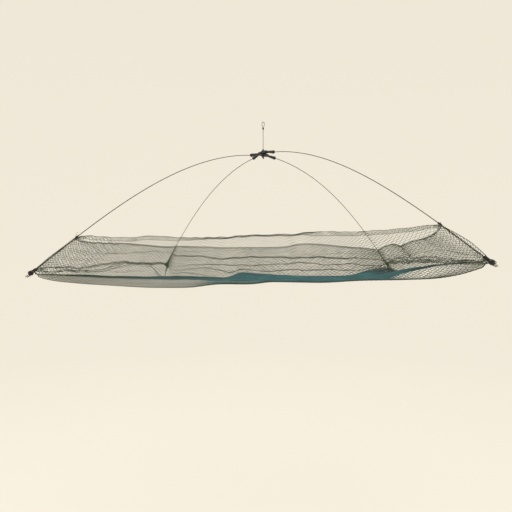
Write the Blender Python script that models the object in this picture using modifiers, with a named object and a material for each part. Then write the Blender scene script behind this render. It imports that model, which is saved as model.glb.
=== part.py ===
"""Umbrella lift net: a square tray of netting, its corners held by four arched spring ribs in a folding hub,
hung level by one line. Metres, +Z up. The origin is the top of the line's loop, so the net hangs below it."""

from collections import namedtuple
import math

import bmesh
import bpy
from mathutils import Matrix, Vector

# ---------------------------------------------------------------- driving sizes

SIDE = 1.0  # floor edge from one rib tip to the next
NET_CENTRE = Vector((0.010, 0.001, 0.0))  # the net hangs a little off the line's axis
TIP_LEVEL = -0.470  # the level that every rise below is measured from

RIB_RADIUS = 0.0010
CORD_RADIUS = 0.00125  # lacing cord along each floor edge
LINE_RADIUS = 0.0008
SHEET = 0.0012  # thickness of the netting panels
HEM = 0.0024  # thickness of the folded top edge
HEM_HEIGHT = 0.009
GAP = 0.0003  # between pieces that touch
EDGE_GAP = 0.0006  # between a panel's edge and the cord it is laced to
RIB_CLEARANCE = 0.0040  # from a rib's axis to the edge of a wall
# A wall's lower corner is gathered up by this share of its height, within this distance of the rib.
CORNER_LIFT, CORNER_REACH = 0.09, 0.06

ARM = 0.052  # from the hub's axis to the mouth of a socket
SOCKET_DEPTH = 0.018
SOCKET_RADIUS = 0.0055
PLATE = (0.040, 0.015, 0.0066)  # middle of a hub bar
LOWER_BAR_RISE, UPPER_BAR_RISE = 0.3600, 0.3669
PLATE_CORNER = 0.004
SOCKET_ROOT = 0.42  # share of the plate's length at which a socket starts
RIVET_RADIUS = 0.0036
RIVET_BORE = 0.0012
RIVET_HEAD = 0.0070
LUG_HEIGHT, LUG_WALL, LUG_ROOT = 0.0075, 0.0012, 0.0035
HEAD_HEIGHT, FOOT_HEIGHT = 0.0016, 0.0030

CAP_RADIUS = 0.0042
CAP_BEFORE, CAP_BEYOND = 0.012, 0.0035  # how far the cap reaches before and beyond the rib's end
LASHING = 0.0011  # radius of the cord round the cap
KNOT_RADIUS = 0.0032
TIE_LENGTH, TIE_RADIUS = 0.012, 0.0030  # the wrapped tie at the top of each wall
CAP_REACH, TIE_REACH = 0.016, 0.008  # how far along the rib the netting keeps off its cap and its tie

LOOP_HEIGHT, LOOP_WIDTH = 0.019, 0.010
LOOP_TAPER = 0.25  # how much narrower the loop is at its foot
LOOP_KNOT = (0.0030, 0.0038)  # half width and half height
STOP_KNOT = (0.0036, 0.0030)

RIB_STEPS = 28
LINE_STEPS = 24
WALL_GRID = (32, 6)
FLOOR_GRID = (32, 24)
SEARCH_STEPS = 400
LEAST_STEP = 0.005  # least share of a seam between two points of its cord
ROUND_SIDES = 12
KNOT_SIDES = 10
LASHING_SIDES = 16
FACE_ANGLE = math.radians(35)
WELD = 0.00001

# A row for each corner. Rises are above TIP_LEVEL, the droop is the rib's slope where it leaves the hub, and
# tie_back is how far up the rib from its tip the wall's top edge is tied.
Corner = namedtuple("Corner", "name side_x side_y tip_rise mouth_rise root_droop tie_back")
CORNERS = (
    Corner("front_left", -1, -1, -0.025, 0.350, 8.0, 0.134),
    Corner("front_right", 1, -1, -0.001, 0.359, 8.0, 0.142),
    Corner("back_right", 1, 1, -0.013, 0.357, 5.0, 0.108),
    Corner("back_left", -1, 1, -0.009, 0.358, 6.0, 0.130),
)

# The seam between floor and wall: how far it is drawn in from the straight floor edge, and its rise.
Seam = namedtuple("Seam", "along drawn_in rise")
# The wall's top edge: how far it sags under the straight line between its ties, and waves outwards.
Hem = namedtuple("Hem", "along sag wave")
# A soft ridge (or trough, where its height is negative) across a panel, from one end to the other.
Fold = namedtuple("Fold", "from_along from_down to_along to_down half_width height")

Wall = namedtuple("Wall", "name start end outward bulge seam hem folds")
WALLS = (
    Wall(
        "front", "front_left", "front_right", (0, -1), 0.006,
        (
            Seam(0.00, 0.000, -0.025), Seam(0.04, 0.008, -0.038), Seam(0.09, 0.018, -0.045),
            Seam(0.17, 0.030, -0.051), Seam(0.28, 0.040, -0.056), Seam(0.36, 0.044, -0.055),
            Seam(0.42, 0.046, -0.048), Seam(0.50, 0.046, -0.047), Seam(0.55, 0.045, -0.042),
            Seam(0.65, 0.044, -0.043), Seam(0.74, 0.038, -0.038), Seam(0.84, 0.028, -0.035),
            Seam(0.90, 0.018, -0.031), Seam(0.94, 0.010, -0.023), Seam(0.97, 0.005, -0.013),
            Seam(1.00, 0.000, -0.001),
        ),
        (
            Hem(0.000, 0.0000, 0.0000), Hem(0.013, -0.0035, 0.0005), Hem(0.032, -0.0040, 0.0010),
            Hem(0.067, -0.0010, 0.0010), Hem(0.097, 0.0015, 0.0010), Hem(0.127, 0.0033, 0.0010),
            Hem(0.162, 0.0038, 0.0010), Hem(0.208, 0.0018, 0.0020), Hem(0.243, 0.0030, 0.0020),
            Hem(0.278, 0.0064, 0.0010), Hem(0.300, 0.0085, 0.0010), Hem(0.345, 0.0098, 0.0000),
            Hem(0.391, 0.0110, 0.0000), Hem(0.441, 0.0110, -0.0010), Hem(0.469, 0.0096, -0.0010),
            Hem(0.520, 0.0095, 0.0000), Hem(0.580, 0.0098, 0.0010), Hem(0.634, 0.0092, 0.0020),
            Hem(0.661, 0.0068, 0.0010), Hem(0.700, 0.0062, 0.0010), Hem(0.769, 0.0088, -0.0010),
            Hem(0.833, 0.0078, -0.0010), Hem(0.905, 0.0053, 0.0000), Hem(0.958, 0.0017, 0.0000),
            Hem(1.000, 0.0000, 0.0000),
        ),
        (
            Fold(0.05, 0.70, 0.30, 0.80, 0.05, 0.004), Fold(0.20, 0.45, 0.60, 0.50, 0.06, -0.003),
            Fold(0.55, 0.75, 0.95, 0.60, 0.05, 0.003),
        ),
    ),
    Wall(
        "right", "front_right", "back_right", (1, 0), 0.012,
        (
            Seam(0.00, 0.000, -0.001), Seam(0.12, 0.006, 0.001), Seam(0.20, 0.009, -0.001),
            Seam(0.28, 0.011, -0.004), Seam(0.35, 0.013, -0.006), Seam(0.42, 0.014, -0.011),
            Seam(0.51, 0.014, -0.020), Seam(0.61, 0.014, -0.027), Seam(0.74, 0.012, -0.031),
            Seam(0.86, 0.007, -0.028), Seam(0.94, 0.003, -0.021), Seam(1.00, 0.000, -0.013),
        ),
        (
            Hem(0.000, 0.0000, 0.0000), Hem(0.023, 0.0110, 0.0000), Hem(0.053, 0.0180, 0.0010),
            Hem(0.095, 0.0206, 0.0020), Hem(0.140, 0.0200, 0.0030), Hem(0.210, 0.0178, 0.0040),
            Hem(0.319, 0.0150, 0.0000), Hem(0.400, 0.0172, -0.0020), Hem(0.487, 0.0165, 0.0020),
            Hem(0.543, 0.0091, 0.0030), Hem(0.645, 0.0001, 0.0010), Hem(0.743, -0.0013, -0.0010),
            Hem(0.840, 0.0002, -0.0030), Hem(0.933, 0.0013, -0.0010), Hem(1.000, 0.0000, 0.0000),
        ),
        (
            Fold(0.00, 0.10, 0.45, 0.55, 0.07, 0.006), Fold(0.50, 0.35, 0.95, 0.60, 0.07, 0.005),
            Fold(0.85, 0.10, 0.95, 0.70, 0.06, -0.004),
        ),
    ),
    Wall(
        "back", "back_left", "back_right", (0, 1), 0.005,
        (
            Seam(0.00, 0.000, -0.009), Seam(0.03, 0.005, -0.042), Seam(0.06, 0.009, -0.056),
            Seam(0.11, 0.016, -0.062), Seam(0.17, 0.024, -0.062), Seam(0.22, 0.030, -0.063),
            Seam(0.28, 0.034, -0.065), Seam(0.32, 0.036, -0.055), Seam(0.36, 0.038, -0.042),
            Seam(0.43, 0.040, -0.047), Seam(0.53, 0.040, -0.053),
            Seam(0.65, 0.038, -0.057), Seam(0.77, 0.030, -0.057), Seam(0.84, 0.022, -0.052),
            Seam(0.91, 0.014, -0.033), Seam(0.96, 0.006, -0.020), Seam(1.00, 0.000, -0.013),
        ),
        (
            Hem(0.000, 0.0000, 0.0000), Hem(0.064, -0.0008, 0.0010), Hem(0.146, -0.0003, 0.0030),
            Hem(0.234, 0.0015, 0.0030), Hem(0.321, 0.0002, 0.0020), Hem(0.402, -0.0010, 0.0000),
            Hem(0.487, -0.0034, -0.0010), Hem(0.550, -0.0062, -0.0020), Hem(0.587, -0.0137, -0.0020),
            Hem(0.612, -0.0185, -0.0020), Hem(0.651, -0.0216, -0.0020), Hem(0.721, -0.0209, -0.0010),
            Hem(0.770, -0.0178, 0.0000), Hem(0.819, -0.0142, 0.0000), Hem(0.897, -0.0090, 0.0000),
            Hem(0.946, -0.0068, 0.0000), Hem(0.985, -0.0030, 0.0000), Hem(1.000, 0.0000, 0.0000),
        ),
        (
            Fold(0.02, 0.35, 0.98, 0.37, 0.06, 0.006), Fold(0.15, 0.60, 0.85, 0.62, 0.05, -0.004),
            Fold(0.20, 0.82, 0.75, 0.80, 0.05, 0.004),
        ),
    ),
    Wall(
        "left", "front_left", "back_left", (-1, 0), 0.010,
        (
            Seam(0.00, 0.000, -0.025), Seam(0.06, 0.006, -0.027), Seam(0.13, 0.012, -0.031),
            Seam(0.20, 0.015, -0.034), Seam(0.28, 0.018, -0.038), Seam(0.38, 0.020, -0.045),
            Seam(0.50, 0.022, -0.049), Seam(0.66, 0.020, -0.057), Seam(0.80, 0.014, -0.061),
            Seam(0.90, 0.010, -0.059), Seam(0.96, 0.006, -0.048), Seam(1.00, 0.000, -0.009),
        ),
        (
            Hem(0.000, 0.0000, 0.0000), Hem(0.022, 0.0045, 0.0010), Hem(0.065, 0.0076, 0.0020),
            Hem(0.146, 0.0078, 0.0030), Hem(0.206, 0.0070, 0.0030), Hem(0.303, 0.0058, 0.0030),
            Hem(0.409, 0.0046, 0.0010), Hem(0.485, 0.0051, -0.0010), Hem(0.574, 0.0048, -0.0020),
            Hem(0.709, 0.0047, -0.0010), Hem(0.861, 0.0040, 0.0000), Hem(0.963, 0.0014, 0.0000),
            Hem(1.000, 0.0000, 0.0000),
        ),
        (
            Fold(0.10, 0.36, 0.98, 0.28, 0.06, 0.005), Fold(0.12, 0.76, 0.95, 0.58, 0.08, 0.008),
        ),
    ),
)

# The floor's rise at a place between its front and back seams.
Level = namedtuple("Level", "along z")
# Cross-sections of the floor from left to right: its rise just behind the front seam, across the middle and
# just before the back seam.
Floor = namedtuple("Floor", "along front middle back")
FLOOR = (
    Floor(0.00, -0.028, -0.050, -0.055), Floor(0.05, -0.031, -0.052, -0.062),
    Floor(0.10, -0.034, -0.053, -0.065), Floor(0.17, -0.037, -0.054, -0.065),
    Floor(0.28, -0.039, -0.054, -0.066), Floor(0.37, -0.041, -0.054, -0.047),
    Floor(0.48, -0.042, -0.055, -0.052), Floor(0.62, -0.042, -0.055, -0.056),
    Floor(0.74, -0.039, -0.053, -0.056), Floor(0.82, -0.032, -0.049, -0.053),
    Floor(0.87, -0.014, -0.043, -0.046), Floor(0.94, -0.004, -0.034, -0.032),
    Floor(1.00, 0.000, -0.020, -0.024),
)
FLOOR_FRONT, FLOOR_BACK = 0.07, 0.93  # where the first and last of those sections lie
SEAM_HEIGHT = 0.10  # least height of a wall, for the share of it that its seam takes up
WALL_HEIGHT = 0.12
FLOOR_FOLDS = (
    Fold(0.10, 0.15, 0.45, 0.30, 0.05, 0.005), Fold(0.15, 0.55, 0.60, 0.62, 0.06, -0.004),
    Fold(0.55, 0.25, 0.92, 0.40, 0.05, 0.004), Fold(0.02, 0.98, 0.22, 0.70, 0.05, 0.006),
    Fold(0.98, 0.98, 0.80, 0.72, 0.05, 0.005),
)

# ---------------------------------------------------------------- scene, materials, objects


def clear_scene():
    for item in list(bpy.data.objects):
        bpy.data.objects.remove(item, do_unlink=True)


def new_collection(name):
    collection = bpy.data.collections.new(name)
    bpy.context.scene.collection.children.link(collection)
    return collection


def new_material(name, colour, roughness, metallic=0.0):
    material = bpy.data.materials.new(name)
    material.use_nodes = True
    shader = material.node_tree.nodes["Principled BSDF"]
    shader.inputs["Base Color"].default_value = (*colour, 1.0)
    shader.inputs["Roughness"].default_value = roughness
    shader.inputs["Metallic"].default_value = metallic
    return material


def add_object(name, data, material, collection=None):
    item = bpy.data.objects.new(name, data)
    data.materials.append(material)
    (collection or PARTS).objects.link(item)
    return item


def add_mesh(name, bm, material, collection=None):
    """The bmesh as an object, with its round faces smooth and its corners sharp."""
    mesh = bpy.data.meshes.new(name)
    bmesh.ops.recalc_face_normals(bm, faces=bm.faces)
    bm.to_mesh(mesh)
    bm.free()
    mesh.shade_smooth()
    mesh.set_sharp_from_angle(angle=FACE_ANGLE)
    return add_object(name, mesh, material, collection)


def add_tube(name, points, radius, material, cyclic=False):
    """A round cord or wire through the points, with closed ends."""
    curve = bpy.data.curves.new(name, "CURVE")
    curve.dimensions = "3D"
    curve.bevel_depth = radius
    curve.bevel_resolution = 2
    curve.use_fill_caps = not cyclic
    spline = curve.splines.new("POLY")
    spline.points.add(len(points) - 1)
    for target, point in zip(spline.points, points):
        target.co = (*point, 1.0)
    spline.use_cyclic_u = cyclic
    return add_object(name, curve, material)


def tube_as_mesh(item):
    """The tube made a mesh, its caps welded on, so that it takes a Boolean."""
    graph = bpy.context.evaluated_depsgraph_get()
    mesh = bpy.data.meshes.new_from_object(item.evaluated_get(graph))
    bm = bmesh.new()
    bm.from_mesh(mesh)
    bmesh.ops.remove_doubles(bm, verts=bm.verts, dist=WELD)
    bm.to_mesh(mesh)
    bm.free()
    name, matrix = item.name, item.matrix_world.copy()
    bpy.data.objects.remove(item)
    solid = bpy.data.objects.new(name, mesh)
    solid.matrix_world = matrix
    PARTS.objects.link(solid)
    return solid


def boolean(item, other, operation):
    """Cuts or joins by a helper, which moves to the cutters' collection."""
    for collection in list(other.users_collection):
        collection.objects.unlink(other)
    CUTTERS.objects.link(other)
    other.hide_render = True
    other.display_type = "WIRE"
    modifier = item.modifiers.new(operation.title(), "BOOLEAN")
    modifier.operation = operation
    modifier.object = other


# ---------------------------------------------------------------- curves and frames


def smooth_value(rows, column, at):
    """The column's value at a place along its rows, on a smooth curve that doesn't overshoot between them."""
    places = [row.along for row in rows]
    values = [getattr(row, column) for row in rows]
    steps = [(v1 - v0) / (p1 - p0) for v0, v1, p0, p1 in zip(values, values[1:], places, places[1:])]
    slopes = [steps[0]]
    slopes += [(a + b) / 2 if a * b > 0 else 0.0 for a, b in zip(steps, steps[1:])]
    slopes.append(steps[-1])
    index = max(i for i in range(len(rows) - 1) if at >= places[i] or i == 0)
    width = places[index + 1] - places[index]
    t = (at - places[index]) / width
    return (
        (2 * t**3 - 3 * t**2 + 1) * values[index]
        + (t**3 - 2 * t**2 + t) * width * slopes[index]
        + (3 * t**2 - 2 * t**3) * values[index + 1]
        + (t**3 - t**2) * width * slopes[index + 1]
    )


def fold_height(folds, along, down):
    """The sum of the soft ridges at a place on a panel. Each one fades out towards its ends."""
    total = 0.0
    for fold in folds:
        start = Vector((fold.from_along, fold.from_down))
        run = Vector((fold.to_along, fold.to_down)) - start
        offset = Vector((along, down)) - start
        t = offset.dot(run) / run.length_squared
        if 0 < t < 1:
            aside = (offset - run * t).length / fold.half_width
            total += fold.height * math.exp(-aside * aside) * math.sin(math.pi * t)
    return total


def rib_bend(angle_of_chord):
    """The bend of a wire pulled at its tip, whose slope grows as 2t - t², for the slope of its chord."""
    low, high = 0.0, 2.5
    for _ in range(50):
        middle = (low + high) / 2
        run, drop = spring_shape(middle)[-1]
        low, high = (middle, high) if math.atan2(drop, run) < angle_of_chord else (low, middle)
    return middle


def spring_shape(bend):
    """(run, drop) at each step of a wire one unit long that leaves level and bends downwards."""
    points = [(0.0, 0.0)]
    for step in range(RIB_STEPS):
        t = (step + 0.5) / RIB_STEPS
        slope = bend * (2 * t - t * t)
        run, drop = points[-1]
        points.append((run + math.cos(slope) / RIB_STEPS, drop + math.sin(slope) / RIB_STEPS))
    return points


def tip_of(corner):
    return NET_CENTRE + Vector(
        (corner.side_x * SIDE / 2, corner.side_y * SIDE / 2, TIP_LEVEL + corner.tip_rise)
    )


def rib_frame(corner):
    """The mouth of the rib's socket, and the direction in which the rib leaves it."""
    tip = tip_of(corner)
    heading = Vector((tip.x, tip.y, 0.0)).normalized()
    mouth = heading * ARM + Vector((0, 0, TIP_LEVEL + corner.mouth_rise))
    droop = math.radians(corner.root_droop)
    return mouth, heading * math.cos(droop) - Vector((0, 0, math.sin(droop)))


def rib_points(corner):
    """The rib from its socket's mouth to its tip: a spring wire that meets the net's corner."""
    tip = tip_of(corner)
    mouth, _ = rib_frame(corner)
    heading = Vector((tip.x, tip.y, 0.0)).normalized()
    droop = math.radians(corner.root_droop)
    chord = tip - mouth
    run, drop = chord.dot(heading), -chord.z
    shape = spring_shape(rib_bend(math.atan2(drop, run) - droop))
    scale = chord.length / math.hypot(*shape[-1])
    points = []
    for x, z in shape:
        ahead = (x * math.cos(droop) - z * math.sin(droop)) * scale
        below = (x * math.sin(droop) + z * math.cos(droop)) * scale
        points.append(mouth + heading * ahead - Vector((0, 0, below)))
    return points


def point_before_end(points, distance):
    """The point on a line of points that lies this far before its end, and the direction there."""
    left = distance
    for end, start in zip(reversed(points), reversed(points[:-1])):
        length = (end - start).length
        if left <= length:
            return end.lerp(start, left / length), (end - start).normalized()
        left -= length
    raise ValueError("the distance is longer than the line")


CORNER = {corner.name: corner for corner in CORNERS}
RIB = {corner.name: rib_points(corner) for corner in CORNERS}


def inward(wall):
    return -Vector((*wall.outward, 0.0))


def seam_point(wall, along):
    """A point on the seam between the floor and this wall, at the lacing cord's centre."""
    start, end = tip_of(CORNER[wall.start]), tip_of(CORNER[wall.end])
    point = start.lerp(end, along) + inward(wall) * smooth_value(wall.seam, "drawn_in", along)
    point.z = TIP_LEVEL + smooth_value(wall.seam, "rise", along)
    return point


def side_edge_point(wall, corner_name, down):
    """A point on the edge of a wall that runs down beside a rib, from its tie to its tip."""
    corner = CORNER[corner_name]
    point, _ = point_before_end(RIB[corner_name], corner.tie_back * (1 - down))
    along_wall = tip_of(CORNER[wall.end]) - tip_of(CORNER[wall.start])
    aside = Vector((along_wall.x, along_wall.y, 0.0)).normalized()
    return point + aside * (RIB_CLEARANCE if corner_name == wall.start else -RIB_CLEARANCE)


def hem_point(wall, along):
    """A point on the wall's top edge, between its two ties."""
    start, end = side_edge_point(wall, wall.start, 0.0), side_edge_point(wall, wall.end, 0.0)
    point = start.lerp(end, along) - inward(wall) * smooth_value(wall.hem, "wave", along)
    point.z -= smooth_value(wall.hem, "sag", along)
    return point


def wall_point(wall, along, down):
    """A point on a wall panel: blended between its top edge, its seam and its two ribs, with its folds."""
    top, bottom = hem_point(wall, along), seam_point(wall, along)
    first, last = (side_edge_point(wall, name, down) for name in (wall.start, wall.end))
    high, low = (
        side_edge_point(wall, wall.start, end).lerp(side_edge_point(wall, wall.end, end), along)
        for end in (0.0, 1.0)
    )
    flat = high.lerp(low, down)
    point = top.lerp(bottom, down) + first.lerp(last, along) - flat
    swell = math.sin(math.pi * along) * math.sin(math.pi * down)
    fold = fold_height(wall.folds, along, down) * math.sin(math.pi * down) ** 0.5
    return point - inward(wall) * (wall.bulge * swell + fold)


def hung_level(along, back):
    """The floor's level where it hangs free: from the front seam over its three cross-sections to the back seam."""
    seams = {wall.name: wall for wall in WALLS}
    rises = [smooth_value(FLOOR, column, along) for column in ("front", "middle", "back")]
    stations = (0.0, FLOOR_FRONT, 0.5, FLOOR_BACK, 1.0)
    front, rear = (seam_point(seams[name], along).z for name in ("front", "back"))
    levels = (front, *(TIP_LEVEL + rise for rise in rises), rear)
    return smooth_value([Level(*pair) for pair in zip(stations, levels)], "z", back)


def floor_point(along, back):
    """A point on the floor panel: blended between its four seams, and hung on its three cross-sections."""
    seams = {wall.name: wall for wall in WALLS}
    front, rear = seam_point(seams["front"], along), seam_point(seams["back"], along)
    left, right = seam_point(seams["left"], back), seam_point(seams["right"], back)
    tips = [tip_of(CORNER[name]) for name in ("front_left", "front_right", "back_left", "back_right")]
    flat = tips[0].lerp(tips[1], along).lerp(tips[2].lerp(tips[3], along), back)
    point = front.lerp(rear, back) + left.lerp(right, along) - flat
    side, seam = (0.0, left) if along < 0.5 else (1.0, right)
    from_side = min(1.0, min(along, 1 - along) / FLOOR_FRONT)
    point.z = hung_level(along, back) + (seam.z - hung_level(side, back)) * (1 - from_side)
    fade = math.sin(math.pi * along) * math.sin(math.pi * back)
    point.z += fold_height(FLOOR_FOLDS, along, back) * min(1.0, 4 * fade)
    return point


# ---------------------------------------------------------------- hub


def turned(direction):
    """The rotation that takes +X along the direction and keeps the top up."""
    ahead = direction.normalized()
    side = Vector((0, 0, 1)).cross(ahead).normalized()
    return Matrix((ahead, side, ahead.cross(side))).transposed().to_4x4()


def cylinder_between(bm, start, end, radius, end_radius=None, sides=ROUND_SIDES):
    """A closed cylinder or cone from one point to the other, added to the bmesh."""
    axis = end - start
    matrix = Matrix.Translation((start + end) / 2) @ axis.to_track_quat("Z", "Y").to_matrix().to_4x4()
    return bmesh.ops.create_cone(
        bm, cap_ends=True, segments=sides, radius1=radius,
        radius2=radius if end_radius is None else end_radius, depth=axis.length, matrix=matrix,
    )["verts"]


def add_cylinder(name, start, end, radius, material, end_radius=None, collection=None):
    bm = bmesh.new()
    cylinder_between(bm, start, end, radius, end_radius)
    return add_mesh(name, bm, material, collection)


def add_knot(name, centre, half_width, half_height, material, collection=None):
    """A round knot, drawn as a ball as wide and as high as it."""
    bm = bmesh.new()
    bmesh.ops.create_uvsphere(bm, u_segments=KNOT_SIDES, v_segments=8, radius=1.0)
    size = Matrix.Diagonal((half_width, half_width, half_height, 1.0))
    bmesh.ops.transform(bm, verts=bm.verts, matrix=Matrix.Translation(centre) @ size)
    return add_mesh(name, bm, material, collection)


def add_hub_bar(name, first, last, rise, material):
    """One bar of the hub: a flat middle with a hole for the rivet, and a bored socket at each end."""
    middle = Vector((0, 0, TIP_LEVEL + rise))
    heading = Vector((tip_of(last).x, tip_of(last).y, 0.0)) - Vector((tip_of(first).x, tip_of(first).y, 0.0))
    bm = bmesh.new()
    bmesh.ops.create_cube(bm, size=1.0, matrix=Matrix.Diagonal((*PLATE, 1.0)))
    bmesh.ops.bevel(
        bm, geom=[e for e in bm.edges if abs(e.verts[0].co.z - e.verts[1].co.z) > PLATE[2] / 2],
        offset=PLATE_CORNER, offset_type="OFFSET", segments=3, profile=0.5, affect="EDGES",
        material=-1,
    )
    bmesh.ops.transform(bm, verts=bm.verts, matrix=Matrix.Translation(middle) @ turned(heading))
    bar = add_mesh(name, bm, material)
    for corner in (first, last):
        mouth, leaving = rib_frame(corner)
        inner = mouth - leaving * (ARM - PLATE[0] * SOCKET_ROOT)
        inner.z = middle.z
        socket = add_cylinder(
            f"{name}_socket_{corner.name}", inner, mouth, PLATE[2] * 0.45, material, SOCKET_RADIUS, CUTTERS
        )
        boolean(bar, socket, "UNION")
    for corner in (first, last):
        mouth, leaving = rib_frame(corner)
        bore = add_cylinder(
            f"{name}_bore_{corner.name}", mouth - leaving * (SOCKET_DEPTH + GAP), mouth + leaving * 0.01,
            RIB_RADIUS + GAP, material, None, CUTTERS,
        )
        boolean(bar, bore, "DIFFERENCE")
    hole = add_cylinder(
        f"{name}_hole", middle - Vector((0, 0, 0.02)), middle + Vector((0, 0, 0.02)),
        RIVET_RADIUS + GAP, material, None, CUTTERS,
    )
    boolean(bar, hole, "DIFFERENCE")
    return bar


def add_rivet(material):
    """The hollow rivet that the two bars turn on, its top drawn up to a lug that the line comes out of."""
    top = TIP_LEVEL + UPPER_BAR_RISE + PLATE[2] / 2 + GAP
    bottom = TIP_LEVEL + LOWER_BAR_RISE - PLATE[2] / 2 - GAP
    bm = bmesh.new()
    half = [
        (RIVET_BORE, top + LUG_HEIGHT), (RIVET_BORE + LUG_WALL, top + LUG_HEIGHT),
        (RIVET_HEAD * 0.55, top + LUG_ROOT), (RIVET_HEAD, top + HEAD_HEIGHT), (RIVET_HEAD, top),
        (RIVET_RADIUS, top), (RIVET_RADIUS, bottom), (RIVET_HEAD * 0.9, bottom),
        (RIVET_HEAD * 0.9, bottom - HEAD_HEIGHT), (RIVET_HEAD * 0.6, bottom - FOOT_HEIGHT),
        (RIVET_BORE, bottom - FOOT_HEIGHT),
    ]
    ring = [bm.verts.new((radius, 0.0, z)) for radius, z in half]
    edges = [bm.edges.new(pair) for pair in zip(ring, ring[1:] + ring[:1])]
    bmesh.ops.spin(
        bm, geom=ring + edges, cent=(0, 0, 0), axis=(0, 0, 1), angle=math.tau,
        steps=16, use_merge=True,
    )
    bmesh.ops.remove_doubles(bm, verts=bm.verts, dist=WELD)
    add_mesh("hub_rivet", bm, material)
    return bottom - FOOT_HEIGHT


# ---------------------------------------------------------------- ribs and their fittings


def add_rib(corner, material):
    """The spring wire, from the bottom of its socket to its tip."""
    mouth, leaving = rib_frame(corner)
    seated = [mouth - leaving * SOCKET_DEPTH, mouth - leaving * SOCKET_DEPTH / 2]
    return add_tube(f"rib_{corner.name}", seated + RIB[corner.name], RIB_RADIUS, material)


def add_tip_fittings(corner, cap_material, lashing_material, knot_material):
    """The cap on the rib's end, the lashing round it, and the knot that the net's corner cord ends in."""
    tip, ahead = point_before_end(RIB[corner.name], 0.0)
    start, end = tip - ahead * CAP_BEFORE, tip + ahead * CAP_BEYOND
    bm = bmesh.new()
    cylinder_between(bm, start, end, CAP_RADIUS * 0.8, CAP_RADIUS)
    rim = [e for e in bm.edges if all((v.co - end).length < CAP_RADIUS * 1.1 for v in e.verts)]
    bmesh.ops.bevel(
        bm, geom=rim, offset=CAP_RADIUS * 0.45, offset_type="OFFSET", segments=2, profile=0.5,
        affect="EDGES", material=-1,
    )
    cap = add_mesh(f"tip_cap_{corner.name}", bm, cap_material)
    bore = add_cylinder(
        f"bore_{corner.name}", start - ahead * 0.01, tip + ahead * GAP, RIB_RADIUS + GAP, cap_material,
        None, CUTTERS,
    )
    boolean(cap, bore, "DIFFERENCE")

    ring_radius = CAP_RADIUS + GAP + LASHING
    side = ahead.cross(Vector((0, 0, 1))).normalized()
    up = side.cross(ahead)
    centre = tip - ahead * CAP_BEFORE * 0.35
    circle = [math.tau * step / LASHING_SIDES for step in range(LASHING_SIDES)]
    ring = [centre + side * math.cos(a) * ring_radius + up * math.sin(a) * ring_radius for a in circle]
    add_tube(f"corner_lashing_{corner.name}", ring, LASHING, lashing_material, cyclic=True)

    knot_centre = end + ahead * (KNOT_RADIUS + GAP)
    add_knot(f"tip_knot_{corner.name}", knot_centre, KNOT_RADIUS, KNOT_RADIUS, knot_material)


def add_hem_tie(corner, material):
    """The wrapped tie that holds the top of the walls to the rib: a sleeve bored for the wire."""
    middle, ahead = point_before_end(RIB[corner.name], corner.tie_back)
    reach = ahead * (TIE_LENGTH / 2)
    tie = add_cylinder(f"hem_tie_{corner.name}", middle - reach, middle + reach, TIE_RADIUS, material)
    bore = add_cylinder(
        f"tie_bore_{corner.name}", middle - reach * 1.5, middle + reach * 1.5, RIB_RADIUS + GAP, material,
        None, CUTTERS,
    )
    boolean(tie, bore, "DIFFERENCE")


# ---------------------------------------------------------------- netting


def add_sheet(name, grid, place, material, hem_rows=0):
    """A panel of netting: a grid laid on its surface and given its thickness, its first rows a folded hem."""
    bm = bmesh.new()
    bmesh.ops.create_grid(bm, x_segments=grid[0], y_segments=grid[1], size=0.5)
    hem = []
    for vertex in bm.verts:
        across, down = vertex.co.x + 0.5, 0.5 - vertex.co.y
        hem.append(down * grid[1] < hem_rows + 0.5)
        vertex.co = place(across, down)
    mesh = bpy.data.meshes.new(name)
    bm.to_mesh(mesh)
    bm.free()
    mesh.shade_smooth()
    sheet = add_object(name, mesh, material)
    thick = sheet.modifiers.new("Thickness", "SOLIDIFY")
    thick.thickness = SHEET
    thick.offset = 0.0
    if hem_rows:
        group = sheet.vertex_groups.new(name="hem")
        group.add([i for i, inside in enumerate(hem) if inside], 1.0, "REPLACE")
        thick.thickness = HEM
        thick.vertex_group = group.name
        thick.thickness_vertex_group = SHEET / HEM
    return sheet


def kept_off_fittings(point):
    """The point, moved away from a rib's cap, lashing or tie where it would touch them."""
    for corner in CORNERS:
        for before_tip, reach, radius in (
            (0.0, CAP_REACH, CAP_RADIUS + 2 * LASHING + SHEET + 2 * EDGE_GAP),
            (corner.tie_back, TIE_REACH, TIE_RADIUS + HEM / 2 + 2 * EDGE_GAP),
        ):
            centre, ahead = point_before_end(RIB[corner.name], before_tip)
            offset = point - centre
            ahead_by = offset.dot(ahead)
            aside = offset - ahead * ahead_by
            if abs(ahead_by) < reach and aside.length < radius:
                point = point + aside.normalized() * (radius - aside.length)
    return point


def wall_column(across):
    """A panel's column as a place along its seam, so that cord and panel turn at the same places."""
    margin = (CORD_RADIUS + EDGE_GAP) / SIDE
    return margin + across * (1 - 2 * margin)


def laced_wall(wall):
    """The wall's surface, kept off the cord at its seam. Its first row of faces is the hem."""
    first_row = HEM_HEIGHT / WALL_HEIGHT

    def place(along, down):
        step = 1 / WALL_GRID[1]
        if down <= step:
            down = down / step * first_row
        else:
            down = first_row + (down - step) / (1 - step) * (1 - first_row)
        margin = (CORD_RADIUS + EDGE_GAP) / SEAM_HEIGHT
        to_corner = min(along, 1 - along) * SIDE
        lift = CORNER_LIFT * max(0.0, 1 - to_corner / CORNER_REACH) ** 2
        return kept_off_fittings(wall_point(wall, wall_column(along), down * (1 - margin - lift)))

    return place


def laced_floor(across, down):
    """The floor's surface, kept off the cords at its four seams."""
    return kept_off_fittings(floor_point(wall_column(across), wall_column(1 - down)))


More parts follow.
